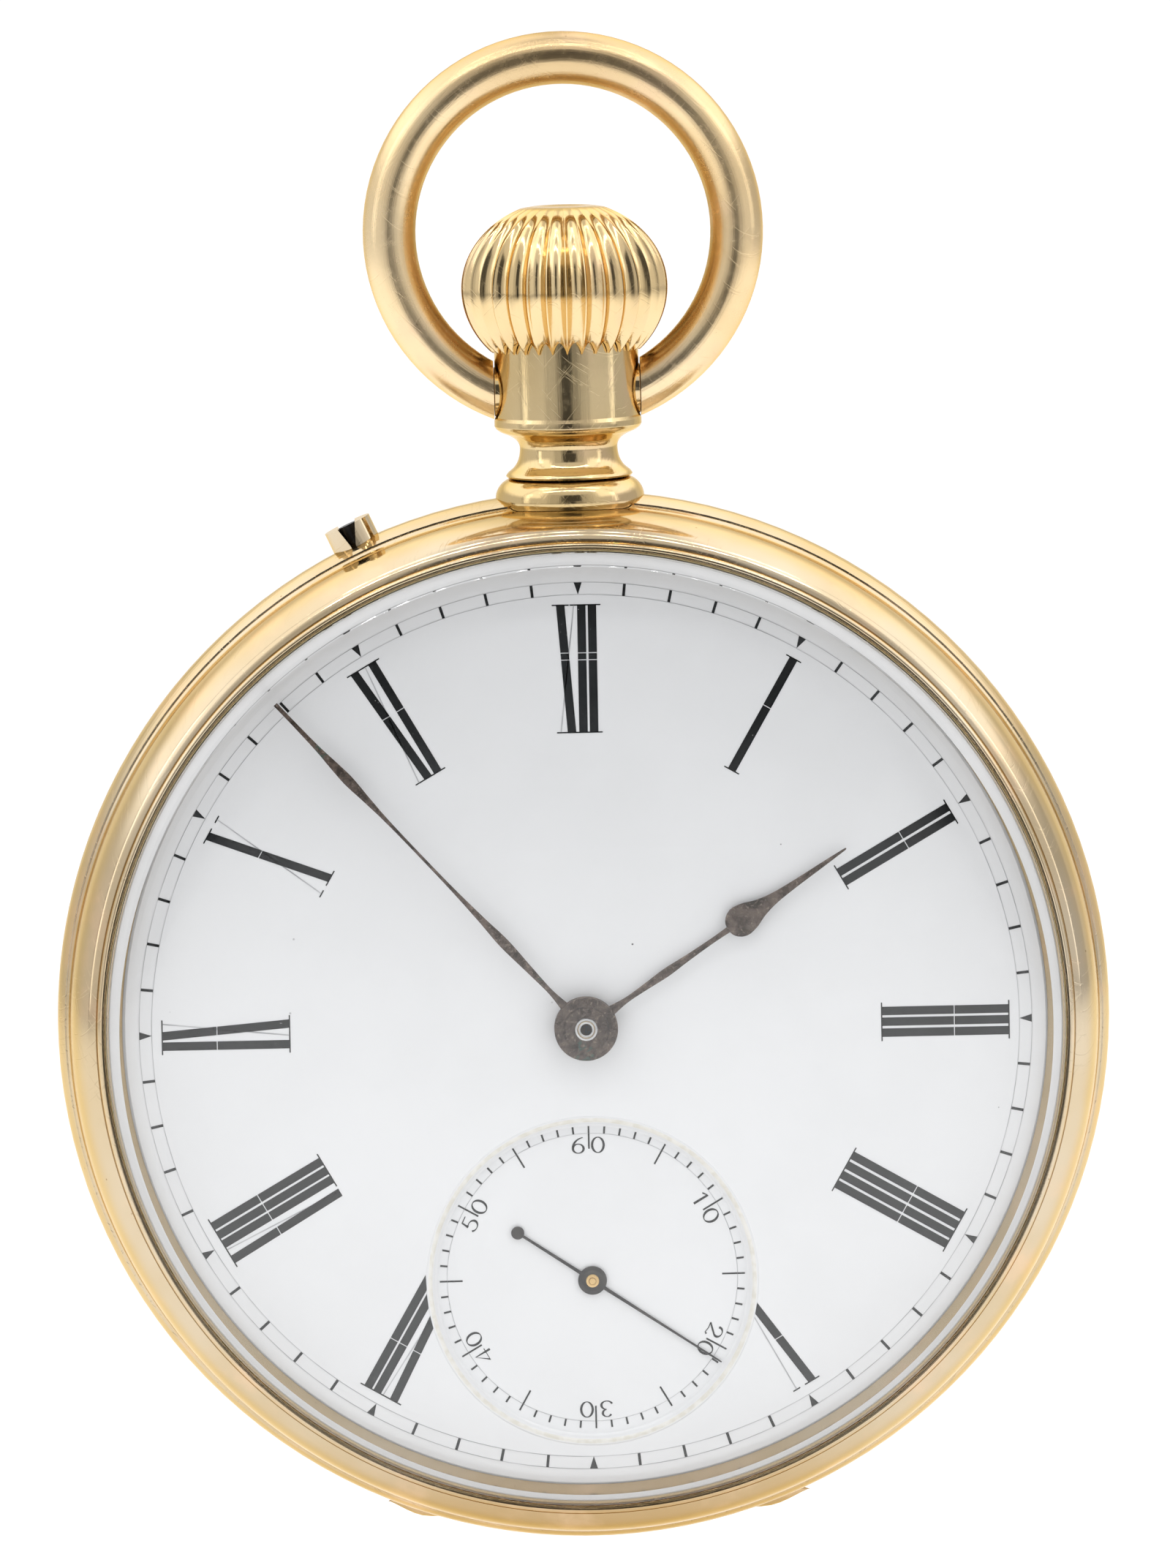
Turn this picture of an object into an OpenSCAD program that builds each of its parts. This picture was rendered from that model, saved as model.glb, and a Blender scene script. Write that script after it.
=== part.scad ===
// Open face pocket watch: crown-wound and pin-set, with a bridge movement and a sunk seconds dial at 6.
// It stands upright: +Z points to 12 o'clock, -Y out of the dial. The origin is the middle of the flat
// on the back cover. Each piece is drawn lying on its back (x right, y to 12, z up through the dial)
// and turned upright by upright().

/* [Case] */
// Diameter of the case at its widest
case_d = 50; // [49:0.5:51]
// Depth of the back cover's flat below the drawing plane of the other pieces
back_depth = 0.5; // [0.45:0.05:1.5]
// Diameter of the bezel's opening
opening_d = 45.4; // [45.3:0.05:45.45]
// Length of the hinge at 6 o'clock
hinge_len = 20.4; // [20:0.2:21]

/* [Bow, crown and pendant] */
// Outer diameter of the bow ring
bow_d = 18.94; // [18.6:0.02:19.2]
// Thickness of the bow's wire
bow_wire_d = 2.5; // [2.3:0.1:2.6]
// Diameter of the crown
crown_d = 9.76; // [9.4:0.02:9.8]
// Diameter of the pendant's straight part
pendant_d = 6.83; // [6.7:0.01:6.85]

/* [Dial and hands] */
// Diameter of the dial
dial_d = 44.1; // [43.6:0.1:44.2]
// Distance from the dial's centre to the seconds dial's centre
seconds_drop = 12.1; // [12.05:0.01:12.15]
// Diameter of the sunk seconds dial
seconds_d = 15.4; // [15:0.1:15.6]
// Length of the minute hand from its axis
minute_len = 21.2; // [20:0.1:21.2]
// Length of the hour hand from its axis
hour_len = 14.9; // [13:0.1:15.5]
// Length of the seconds hand from its axis
second_len = 7.26; // [6:0.02:7.3]
// Time shown by the minute hand
show_minute = 53; // [0:1:59]

/* [Movement] */
// Diameter of the movement's plate
plate_d = 43.2; // [43:0.05:43.3]
// Diameter of the balance wheel
balance_d = 13.6; // [12:0.1:13.8]
// Number of spokes in each train wheel
wheel_spokes = 5; // [4:1:6]

/* [Hidden] */

$fn = 96;
slack = 0.02;                 // radial clearance of a pivot in its hole
e = 0.01;                     // overshoot of a cut past a face
case_r = case_d / 2;
opening_r = opening_d / 2;
joint_z = 2.9;                // plane where the back cover meets the case middle
lip_z = 6.45;                 // plane where the bezel meets the case middle
joint_r = case_r - 0.7;       // radius of the case at the back joint
bezel_r = case_r - 0.44;      // radius of the bezel's lip
bulb_foot_r = case_r - 1;     // how near the dial's axis the pendant's rounded foot reaches
bore_r = plate_d / 2 + 0.1;   // bore of the case middle, round the movement
dial_z = 9.2;                 // height of the dial's face
dial_under_z = 8.4;           // height of the dial's underside
plate_top_z = 7.9;
plate_low_z = 5.9;
pillar_z = 3.35;              // lower edge of the plate's rim, where the bridges sit
bridge_z = 2.3;               // outer face of the bridges
stem_z = 4.65;                // height of the winding stem's axis
hinge_y = -(case_r - 1.6);    // axis of the hinge
hinge_z = joint_z;
knuckle_r = 0.8;
hinge_pin_r = 0.35;
end_len = 2.9;                // room along the axis for each fixed end knuckle
bow_y = 37.3;                 // centre of the bow ring
bow_pivot_y = 29.8;           // axis on which the bow swings
bow_mid_r = (bow_d - bow_wire_d) / 2;
bow_gap = 0.06;               // play between the bow's ends and the pendant
set_angle = 24.1;             // setting pin's place, turned from 12 towards 11 o'clock
pin_r = 0.45;
case_screw_r = 21;            // distance of the case screws from the centre
case_screw_turns = [60, 240];

// teeth, gear modules and arbor places of the going train, as seen from the dial
barrel_teeth = 84;
wheel_teeth = [80, 75, 80];      // centre, third and fourth wheels
pinion_leaves = [12, 10, 10, 8]; // centre, third, fourth and escape pinions
great_m = 0.205;
centre_m = 0.19;
third_m = 0.17;
fourth_m = 0.15;
barrel_gap = great_m * (barrel_teeth + pinion_leaves[0]) / 2;
third_gap = centre_m * (wheel_teeth[0] + pinion_leaves[1]) / 2;
fourth_gap = third_m * (wheel_teeth[1] + pinion_leaves[2]) / 2;
escape_gap = fourth_m * (wheel_teeth[2] + pinion_leaves[3]) / 2;
barrel_at = [-barrel_gap * sin(45), barrel_gap * cos(45)];
fourth_at = [0, -seconds_drop];
third_turn = acos(
  (pow(third_gap, 2) + pow(seconds_drop, 2) - pow(fourth_gap, 2)) / (2 * third_gap * seconds_drop)
);
third_at = [third_gap * sin(third_turn), -third_gap * cos(third_turn)];
escape_at = fourth_at + escape_gap * [-cos(9), -sin(9)];
escape_r = 3;
fork_line = 125;              // direction from the escape arbor to the balance
pallet_at = escape_at + 3.62 * [cos(fork_line), sin(fork_line)];
balance_at = escape_at + 8.35 * [cos(fork_line), sin(fork_line)];
wind_m = 0.36;
crown_wheel_teeth = 24;
ratchet_teeth = 31;
winding_gap = wind_m * (crown_wheel_teeth + ratchet_teeth) / 2;
crown_wheel_at = [0, barrel_at[1] + sqrt(pow(winding_gap, 2) - pow(barrel_at[0], 2))];
winding_leaves = 13;
contrate_r = 3.97;            // radius where the winding pinion meets the crown wheel's face teeth
click_at = barrel_at + 7.4 * [cos(215), sin(215)];
click_spring_offset = [-1.67, -1.3];
setting_pivot = [-4.6, 18.1];

// motion work and hands
cannon_leaves = 12;
minute_teeth = 36;
minute_leaves = 10;
hour_teeth = 40;
motion_m = 0.17;
motion_gap = motion_m * (cannon_leaves + minute_teeth) / 2;
hour_m = motion_gap * 2 / (minute_leaves + hour_teeth);
minute_at = motion_gap * [cos(52), sin(52)];
minute_turn = -6 * show_minute;
hour_turn = -30 - show_minute / 2;
second_turn = -124.2;

// screws and jewels of the plates and bridges
screw_ring_r = 20.9;
barrel_bridge_screws = [-22, 28, 92];
train_bridge_screws = [205, 262, 285];
cock_turn = atan2(balance_at[1], balance_at[0]) - 90;
cock_screws = [cock_turn - 11, cock_turn + 11];
cock_screw_r = 20.65;
foot_turns = [35, 160, 285];  // the dial's feet
train_places = [third_at, fourth_at, escape_at];
// ring jewels at the pivots: [place, height, pivot radius, outer radius]
jewel_places = [
  [third_at, 2.35, 0.2, 0.7], [fourth_at, 2.35, 0.2, 0.7], [escape_at, 2.35, 0.15, 0.7],
  [third_at, 7.4, 0.2, 0.7], [escape_at, 7.4, 0.15, 0.7], [pallet_at, 7.4, 0.12, 0.7],
  [balance_at, 7.4, 0.12, 0.7], [balance_at, 1.72, 0.12, 0.6]
];

gold = "goldenrod";
brass = "khaki";
steel = "lightsteelblue";
blued = "dimgray";

// stands a piece drawn lying down upright, with the back's flat at the origin
module upright() {
  rotate([90, 0, 0]) translate([0, 0, back_depth]) children();
}

// ring or disc from a list of [radius, height] points
module turned(points) {
  rotate_extrude($fn = 180) polygon(points);
}

module tube(r_out, r_in, h) {
  difference() {
    cylinder(r = r_out, h = h);
    translate([0, 0, -e]) cylinder(r = r_in, h = h + 2 * e);
  }
}

// moves a shape to a point in plan at a height
module at(place, z = 0) {
  translate([place[0], place[1], z]) children();
}

// lays a shape's z axis along +y, the pendant's direction, on the stem's axis
module along_stem(y = 0) {
  translate([0, y, stem_z]) rotate([-90, 0, 0]) children();
}

// straight-sided tooth outline with backlash on both flanks
function gear_points(teeth, m) = [
  for (i = [0 : teeth - 1], k = [0 : 3])
    let (pitch = 360 / teeth)
    let (a = (i + [-0.29, -0.1, 0.1, 0.29][k]) * pitch)
    let (r = m * (teeth / 2 + (k == 0 || k == 3 ? -1.15 : 0.75)))
    [r * cos(a), r * sin(a)]
];

module gear(teeth, m, h, bore, turn = 0) {
  difference() {
    rotate(turn) linear_extrude(h) polygon(gear_points(teeth, m));
    translate([0, 0, -e]) cylinder(r = bore, h = h + 2 * e, $fn = 48);
  }
}

// spoked wheel with teeth
module spoked_gear(teeth, m, h, bore) {
  rim = m * (teeth / 2 - 1.15) - 0.55;
  difference() {
    gear(teeth, m, h, bore);
    for (i = [0 : wheel_spokes - 1]) {
      rotate(i * 360 / wheel_spokes) spoke_window(rim, 1.5, 180 / wheel_spokes, h);
    }
  }
}

// opening between two spokes, narrowed at the hub
module spoke_window(r_out, r_in, half_angle, h) {
  half_spoke = 0.28;
  a_out = half_angle - asin(half_spoke / r_out);
  a_in = half_angle - asin(half_spoke / r_in);
  steps = 8;
  translate([0, 0, -e]) linear_extrude(h + 2 * e) polygon(concat(
    [for (i = [0 : steps]) let (a = -a_out + 2 * a_out * i / steps) r_out * [cos(a), sin(a)]],
    [for (i = [steps : -1 : 0]) let (a = -a_in + 2 * a_in * i / steps) r_in * [cos(a), sin(a)]]
  ));
}

// turn that puts a gear's tooth gap opposite the tooth of the gear it meets
function mesh_turn(teeth, direction, other_teeth, other_turn) =
  let (back = direction + 180)
  let (phase = (direction - other_turn) * other_teeth / 360)
  back + (0.5 + phase) * 360 / teeth;

function heading(from, to) = atan2(to[1] - from[1], to[0] - from[0]);

// flat spiral band
module spiral(r_in, r_out, turns, width, h) {
  steps = 24 * turns;
  function place(i, side) =
    let (r = r_in + (r_out - r_in) * i / steps + side * width / 2)
    let (a = 360 * turns * i / steps)
    [r * cos(a), r * sin(a)];
  linear_extrude(h) polygon(concat(
    [for (i = [0 : steps]) place(i, 1)],
    [for (i = [steps : -1 : 0]) place(i, -1)]
  ));
}

// slotted screw with its head's top at z = 0 and its thread going up
module screw(head_r, head_h, thread_r, length) {
  difference() {
    union() {
      cylinder(r = head_r, h = head_h, $fn = 40);
      translate([0, 0, head_h]) cylinder(r = thread_r, h = length - head_h, $fn = 32);
    }
    translate([-head_r - e, -0.07, -e]) cube([2 * head_r + 2 * e, 0.14, head_h / 2]);
  }
}

// ---- case ----

// points of a rounded wall between two heights, bulging to r_max
function belly(r_low, r_max, r_high, z_low, z_high, steps = 14) = [
  for (i = [0 : steps])
    let (t = i / steps)
    let (chord = r_low + (r_high - r_low) * t)
    [chord + (r_max - (r_low + r_high) / 2) * 4 * t * (1 - t), z_low + (z_high - z_low) * t]
];

// solid inside the closed case's outline, for cutting what is soldered onto it
module case_outline() {
  turned(concat(
    [[0, -1], [joint_r + 0.06, -1], [joint_r + 0.06, joint_z - 0.02]],
    belly(joint_r, case_r, case_r - 0.35, joint_z, lip_z),
    [[bulb_foot_r, lip_z], [bulb_foot_r, 12], [0, 12]]
  ));
}

// rounded foot of the pendant, grown all over by an allowance, with a bore of that radius
module bulb(grow, bore) {
  middle_y = bulb_foot_r + 0.68;
  along_stem(0) turned(concat(
    [[bore, bulb_foot_r - 0.6 - grow], [3.3 + grow, bulb_foot_r - 0.6 - grow]],
    [for (i = [0 : 12]) let (a = -25 + i * 9)
      [2.6 + (0.93 + grow) * cos(a), middle_y + (1 + grow) * sin(a)]],
    [[bore, middle_y + (1 + grow) * sin(83)]]
  ));
}

module case_middle() {
  rim_top_z = 9;
  color(gold) upright() difference() {
    union() {
      turned(concat(
        [[bore_r, joint_z]],
        belly(joint_r, case_r, case_r - 0.35, joint_z, lip_z),
        [[case_r - 1.5, lip_z], [case_r - 1.5, lip_z + 1.15], [case_r - 2.1, lip_z + 1.25],
         [case_r - 2.1, rim_top_z], [dial_d / 2 + 0.1, rim_top_z], [dial_d / 2 + 0.1, dial_under_z],
         [bore_r, dial_under_z]]
      ));
      for (side = [-1, 1]) {
        hinge_end(side);
      }
    }
    hinge_room(-hinge_len / 2 + end_len, hinge_len / 2 - end_len);
    hinge_bore(hinge_pin_r);
    along_stem(bore_r - 1) cylinder(r = 1.9, h = 6);
    rotate(set_angle) along_stem(bore_r - 1) cylinder(r = pin_r + slack, h = 6);
    for (turn = case_screw_turns) {
      rotate(turn) translate([0, case_screw_r, joint_z - e]) cylinder(r = 1.25, h = 0.62, $fn = 48);
    }
  }
}

// fixed end knuckle of the hinge, drawn out to a point that reaches further on the right
module hinge_end(side) {
  inner = hinge_len / 2 - end_len;
  reach = 2.25 + side * 0.15;
  translate([0, hinge_y, hinge_z]) rotate([0, side * 90, 0]) rotate_extrude($fn = 64) polygon(concat(
    [[0, inner], [knuckle_r, inner]],
    [for (i = [0 : 8]) let (a = i * 11.25) [knuckle_r * pow(cos(a), 3), inner + 0.6 + reach * sin(a)]]
  ));
}

// room cut round the moving knuckles, from x0 to x1
module hinge_room(x0, x1) {
  translate([x0, hinge_y, hinge_z]) rotate([0, 90, 0]) cylinder(r = knuckle_r + 0.06, h = x1 - x0, $fn = 64);
}

module hinge_bore(r) {
  translate([-hinge_len / 2 + 1.4, hinge_y, hinge_z]) rotate([0, 90, 0])
    cylinder(r = r, h = hinge_len - 2.8, $fn = 48);
}

// moving knuckle from x0 to x1
module knuckle(x0, x1) {
  translate([x0, hinge_y, hinge_z]) rotate([0, 90, 0]) cylinder(r = knuckle_r, h = x1 - x0, $fn = 64);
}

module hinge_pin() {
  color(steel) upright() hinge_bore(hinge_pin_r);
}

module pendant_base() {
  color(gold) upright() difference() {
    bulb(0, 1.9);
    case_outline();
  }
}

module pendant() {
  neck_y = bulb_foot_r + 1.71;
  top_y = 32.3;
  color(gold) upright() difference() {
    along_stem(0) turned([
      [1.9, neck_y], [2.92, neck_y], [3.0, neck_y + 0.08], [2.9, 25.94], [2.6, 26.2], [2.4, 26.55],
      [2.32, 26.95], [2.34, 27.25], [2.5, 27.5], [2.8, 27.7], [3.2, 27.87], [3.44, 28.05],
      [3.49, 28.2], [3.49, 28.42], [pendant_d / 2, 28.6], [pendant_d / 2, top_y - 0.08],
      [pendant_d / 2 - 0.08, top_y], [2.9, top_y], [2.9, 30.9], [1.9, 30.9]
    ]);
    translate([0, bow_pivot_y, stem_z]) rotate([0, 90, 0])
      cylinder(r = 0.55, h = 3 * pendant_d, center = true, $fn = 48);
  }
}

module bow_screws() {
  color(gold) upright() for (side = [-1, 1]) {
    translate([side * 2.1, bow_pivot_y, stem_z]) rotate([0, side * 90, 0])
      cylinder(r = 0.53, h = 1.9, $fn = 48);
  }
}

module bow() {
  flat_x = pendant_d / 2 + bow_gap;
  color(gold) upright() difference() {
    translate([0, bow_y, stem_z]) rotate_extrude($fn = 160)
      translate([bow_mid_r, 0]) circle(r = bow_wire_d / 2, $fn = 64);
    translate([-flat_x, bow_pivot_y - 6, 0]) cube([2 * flat_x, 9, 2 * stem_z]);
    for (side = [-1, 1]) {
      translate([side * 3, bow_pivot_y, stem_z]) rotate([0, side * 90, 0])
        cylinder(r = 0.53, h = 1, $fn = 48);
    }
  }
}

module bezel() {
  inner = opening_r;
  color(gold) upright() difference() {
    turned(concat(
      [[case_r - 1.42, lip_z + 0.03], [bezel_r - 0.06, lip_z + 0.03], [bezel_r, lip_z + 0.12],
       [bezel_r, lip_z + 0.26], [bezel_r - 0.14, lip_z + 0.36]],
      [for (i = [0 : 12]) let (a = 4 + i * 6.6)
        [bezel_r - 0.16 - 1.55 * (1 - pow(cos(a), 0.85)), lip_z + 0.3 + 3.75 * sin(a)]],
      [[inner + 0.38, 10.4]],
      [for (i = [0 : 8]) let (a = 10 + i * 20) [inner + 0.17 + 0.17 * cos(a), 10.7 + 0.2 * sin(a)]],
      [[inner, 10.5], [inner + 0.22, 10.5], [inner + 0.22, 10.24], [inner - 0.5, 10.24],
       [inner - 0.88, dial_z + 0.05], [case_r - 2.02, dial_z + 0.05],
       [case_r - 2.02, lip_z + 1.32], [case_r - 1.42, lip_z + 1.22]]
    ));
    difference() {
      bulb(0.04, 0);
      cylinder(r = bulb_foot_r - 0.05, h = 12);
    }
  }
}

module crystal() {
  edge = opening_r - 0.19;
  flange = opening_r + 0.18;
  color("lightcyan", 0.3) upright() turned([
    [0, 10.6], [19, 10.6], [edge - 0.7, 10.4], [edge - 0.35, 10.27], [flange, 10.27], [flange, 10.47],
    [edge, 10.47], [edge, 11.2], [edge - 0.6, 11.82], [edge - 6, 11.95], [0, 12]
  ]);
}

// everything from near the hinge's axis outwards, kept free so that the back cover can open
module past_hinge() {
  translate([-hinge_len / 2, -case_r, -1]) cube([hinge_len, case_r + hinge_y + 0.16, 6]);
}

module back_cover() {
  wall = 0.55;
  flat_r = 12;
  // outer profile: flat middle, then a long quarter-oval up to the joint
  function shell(t, inset) =
    let (a = 90 * t)
    let (low = inset - back_depth)
    [flat_r + (joint_r - flat_r - inset) * sin(a), low + (joint_z - 0.06 - low) * (1 - cos(a))];
  color(gold) upright() difference() {
    union() {
      difference() {
        turned(concat(
          [[0, -back_depth]],
          [for (i = [0 : 20]) shell(i / 20, 0)],
          [for (i = [20 : -1 : 0]) shell(i / 20, wall)],
          [[0, wall - back_depth]]
        ));
        past_hinge();
        hinge_room(-hinge_len / 2 - 0.1, hinge_len / 2 + 0.1);
      }
      for (side = [-1, 1]) {
        knuckle(side > 0 ? 2.6 : -7.2, side > 0 ? 7.2 : -2.6);
        difference() {
          translate([side * 4.9, hinge_y + 0.5, hinge_z - 0.75]) rotate([-38, 0, 0])
            translate([0, 0, -0.45]) cube([4.5, 1.9, 0.5], center = true);
          past_hinge();
        }
      }
    }
    translate([-hinge_len / 2, hinge_y - 2, joint_z - 0.06]) cube([hinge_len / 2 - 7.2, 6, 3]);
    translate([7.2, hinge_y - 2, joint_z - 0.06]) cube([hinge_len / 2 - 7.2, 6, 3]);
    hinge_bore(hinge_pin_r + slack);
  }
}

module cuvette() {
  cuvette_r = 22.2;
  color(gold) upright() difference() {
    union() {
      turned([[0, 1.12], [20.6, 1.12], [21.3, 1.25], [21.8, 1.6], [22.1, 2.1], [cuvette_r, 2.8],
        [cuvette_r - 0.3, 2.8], [21.8, 2.2], [21.55, 1.85], [21.2, 1.6], [20.5, 1.47], [0, 1.47]]);
      knuckle(-2.5, 2.5);
      translate([-2.4, hinge_y + 0.35, hinge_z - 0.55]) cube([4.8, 1.35, 0.4]);
    }
    hinge_bore(hinge_pin_r + slack);
  }
}

// ---- crown, stem and setting ----

module crown() {
  bottom_y = 31.66;
  widest_y = 34.65;
  top_y = 38.5;
  widest_r = crown_d / 2;
  round_h = 4.15;     // half height of the egg-shaped outline before its ends are cut flat
  flutes = 32;
  skirt_r = pendant_d / 2 + 0.05;
  low = asin((bottom_y - widest_y) / (round_h + 0.2));
  high = asin((top_y - widest_y) / round_h);
  color(gold) upright() along_stem(0) difference() {
    turned(concat(
      [[0.8, 32.4], [skirt_r, 32.4], [skirt_r, bottom_y]],
      [for (i = [0 : 20]) let (a = low + (high - low) * i / 20)
        [widest_r * cos(a), widest_y + (a < 0 ? round_h + 0.2 : round_h) * sin(a)]],
      [[0, top_y], [0, 36.5], [0.8, 36.5]]
    ));
    for (i = [0 : flutes - 1]) {
      rotate(i * 360 / flutes) translate([widest_r + 0.12, 0, bottom_y - 1])
        cylinder(r = 0.3, h = 9, $fn = 6);
    }
  }
}

module stem() {
  color(steel) upright() along_stem(0) {
    translate([0, 0, 16.6]) cylinder(r = 0.5, h = 0.9);
    translate([0, 0, 17.5]) cylinder(r = 0.8, h = 19);
    translate([0, 0, 26.2]) cylinder(r = 1.3, h = 0.8);
  }
}

module winding_pinion() {
  pitch_r = contrate_r * winding_leaves / crown_wheel_teeth;
  color(steel) upright() along_stem(17.6) difference() {
    union() {
      cylinder(r = pitch_r - 0.2, h = 0.7);
      for (i = [0 : winding_leaves - 1]) {
        rotate(90 + i * 360 / winding_leaves) translate([0, -0.15, 0]) cube([pitch_r + 0.1, 0.3, 0.7]);
      }
    }
    translate([0, 0, -e]) cylinder(r = 0.8, h = 1);
  }
}

module guard_ears() {
  color(gold) upright() difference() {
    rotate(set_angle) along_stem(case_r - 0.9) cylinder(r = 1.15, h = 1.88, $fn = 64);
    case_outline();
    rotate(set_angle) along_stem(case_r - 2) cylinder(r = pin_r + slack, h = 4, $fn = 48);
    rotate(set_angle) linear_extrude(9)
      polygon([[-0.25, case_r - 1.4], [0, case_r - 1.4], [0, case_r], [0.5, case_r + 1.2],
        [-0.53, case_r + 1.2], [-0.25, case_r]]);
  }
}

module set_pin() {
  color(blued) upright() rotate(set_angle) along_stem(20.1)
    cylinder(r = pin_r, h = case_r + 0.94 - 20.1, $fn = 48);
}

module setting_lever() {
  color(steel) upright() at(setting_pivot, 4.35) difference() {
    union() {
      cylinder(r = 0.9, h = 0.6);
      translate([-3.7, -0.45, 0]) cube([3.7, 0.9, 0.6]);
      translate([0, -0.4, 0]) rotate(-18) cube([2, 0.7, 0.6]);
    }
    translate([0, 0, -e]) cylinder(r = 0.4 + slack, h = 1, $fn = 48);
    rotate(set_angle) translate([-5, 0.62, -e]) cube([6, 3, 1]);
  }
}

module setting_spring() {
  color(steel) upright() translate([0, 0, 4.5]) difference() {
    at([-11.2, 15.6]) rotate(7) translate([-1.6, -0.3, 0]) cube([6, 0.22, 0.35]);
    at(barrel_at) translate([0, 0, -1]) cylinder(r = 9.2, h = 3);
  }
}

// ---- dial and hands ----

module dial() {
  dial_r = dial_d / 2;
  color("white") upright() difference() {
    turned([[1.3, dial_under_z], [dial_r - 0.15, dial_under_z], [dial_r, dial_under_z + 0.15],
      [dial_r, dial_z - 0.3], [dial_r - 0.09, dial_z - 0.09], [dial_r - 0.3, dial_z],
      [1.4, dial_z], [1.3, dial_z - 0.1]]);
    at(fourth_at, dial_under_z - 1) cylinder(r = seconds_d / 2, h = 3, $fn = 160);
  }
}

module dial_feet() {
  color("peru") upright() for (turn = foot_turns) {
    rotate(turn) translate([0, 19, 6.3]) cylinder(r = 0.45, h = dial_under_z - 6.3, $fn = 40);
  }
}

module seconds_dial() {
  color("white") upright() at(fourth_at, dial_under_z) difference() {
    cylinder(r = seconds_d / 2 - 0.02, h = 0.45, $fn = 160);
    translate([0, 0, -e]) cylinder(r = 0.45, h = 1, $fn = 40);
  }
}

// flat hand along +y from [distance, half width] points
module blade(points, h) {
  linear_extrude(h) polygon(concat(
    [for (p = points) [p[1], p[0]]],
    [for (i = [len(points) - 1 : -1 : 0]) [-points[i][1], points[i][0]]]
  ));
}

module hour_hand() {
  pear_y = 9;
  color("sienna") upright() rotate(hour_turn) translate([0, 0, 9.52]) difference() {
    union() {
      cylinder(r = 1.5, h = 0.15);
      blade([[1.2, 0.24], [2.4, 0.12], [4.5, 0.2], [6.2, 0.12], [8.2, 0.13], [8.35, 0.32],
        [8.6, 0.58], [9, 0.74], [9.5, 0.64], [10.3, 0.36], [11.3, 0.2], [13, 0.13],
        [hour_len - 0.2, 0.09], [hour_len, 0.02]], 0.15);
    }
    translate([0, 0, -e]) cylinder(r = 1.1, h = 1, $fn = 48);
  }
}

module minute_hand() {
  color("sienna") upright() rotate(minute_turn) translate([0, 0, 9.95]) difference() {
    union() {
      cylinder(r = 1.5, h = 0.24, $fn = 64);
      blade([[1.3, 0.2], [2.5, 0.12], [4.2, 0.2], [5.6, 0.23], [7.2, 0.15], [9, 0.08], [13, 0.07],
        [14.6, 0.13], [16.2, 0.24], [17, 0.22], [18.6, 0.13], [20.2, 0.11], [minute_len, 0.11]], 0.14);
    }
    translate([0, 0, -e]) cylinder(r = 0.53, h = 1, $fn = 48);
  }
}

module seconds_hand() {
  tail = 4.2;
  color("dimgray") upright() at(fourth_at, 8.92) rotate(second_turn) difference() {
    union() {
      cylinder(r = 0.68, h = 0.12, $fn = 48);
      cylinder(r = 0.31, h = 0.3, $fn = 40);
      blade([[-tail, 0.06], [0, 0.08], [second_len - 1, 0.05], [second_len, 0.03]], 0.1);
      translate([0, -tail, 0]) cylinder(r = 0.31, h = 0.1, $fn = 40);
    }
    translate([0, 0, -e]) cylinder(r = 0.15, h = 1, $fn = 32);
  }
}

// ---- plates and bridges ----

module screw_holes(turns, z, h, r = 0.36, ring_r = screw_ring_r) {
  for (turn = turns) {
    rotate(turn) translate([0, ring_r, z]) cylinder(r = r, h = h, $fn = 32);
  }
}

module main_plate() {
  color(brass) upright() difference() {
    union() {
      translate([0, 0, plate_low_z]) cylinder(r = plate_d / 2, h = plate_top_z - plate_low_z, $fn = 180);
      translate([0, 0, pillar_z]) tube(plate_d / 2, 20.2, plate_low_z - pillar_z + e);
    }
    for (place = [[0, 0], minute_at]) {
      at(place, 7.2) cylinder(r = 3.75, h = 2);
    }
    translate([0, 0, plate_low_z - 1]) cylinder(r = 0.4 + slack, h = 3, $fn = 48);
    at(minute_at, 6.5) cylinder(r = 0.3, h = 2, $fn = 40);
    at(barrel_at, plate_low_z - 1) cylinder(r = 0.7 + slack, h = 4, $fn = 48);
    for (place = [third_at, escape_at, pallet_at, balance_at]) {
      at(place, plate_low_z - 1) cylinder(r = 0.7, h = 4, $fn = 48);
    }
    at(fourth_at, plate_low_z - 1) cylinder(r = 0.2 + slack, h = 4, $fn = 40);
    along_stem(17.35) cylinder(r = 2.5, h = 1.2);
    along_stem(16) cylinder(r = 0.84, h = 7);
    at(setting_pivot, plate_low_z - e) cylinder(r = 0.4, h = 1.2, $fn = 40);
    rotate(set_angle) along_stem(18) cylinder(r = pin_r + 0.1, h = 5, $fn = 48);
    for (turn = foot_turns) {
      rotate(turn) translate([0, 19, 6.2]) cylinder(r = 0.45, h = 3, $fn = 40);
    }
    screw_holes(concat(barrel_bridge_screws, train_bridge_screws), pillar_z - 1, 2.6);
    screw_holes(cock_screws, pillar_z - 1, 2.6, ring_r = cock_screw_r);
    for (turn = case_screw_turns) {
      rotate(turn) translate([0, case_screw_r, pillar_z - 1]) cylinder(r = 0.36, h = 2.8, $fn = 32);
    }
    for (side = [-1, 1]) {
      at(pallet_at + pallet_pillar(side), plate_low_z - e) cylinder(r = 0.3, h = 1.2, $fn = 32);
    }
  }
}

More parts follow.
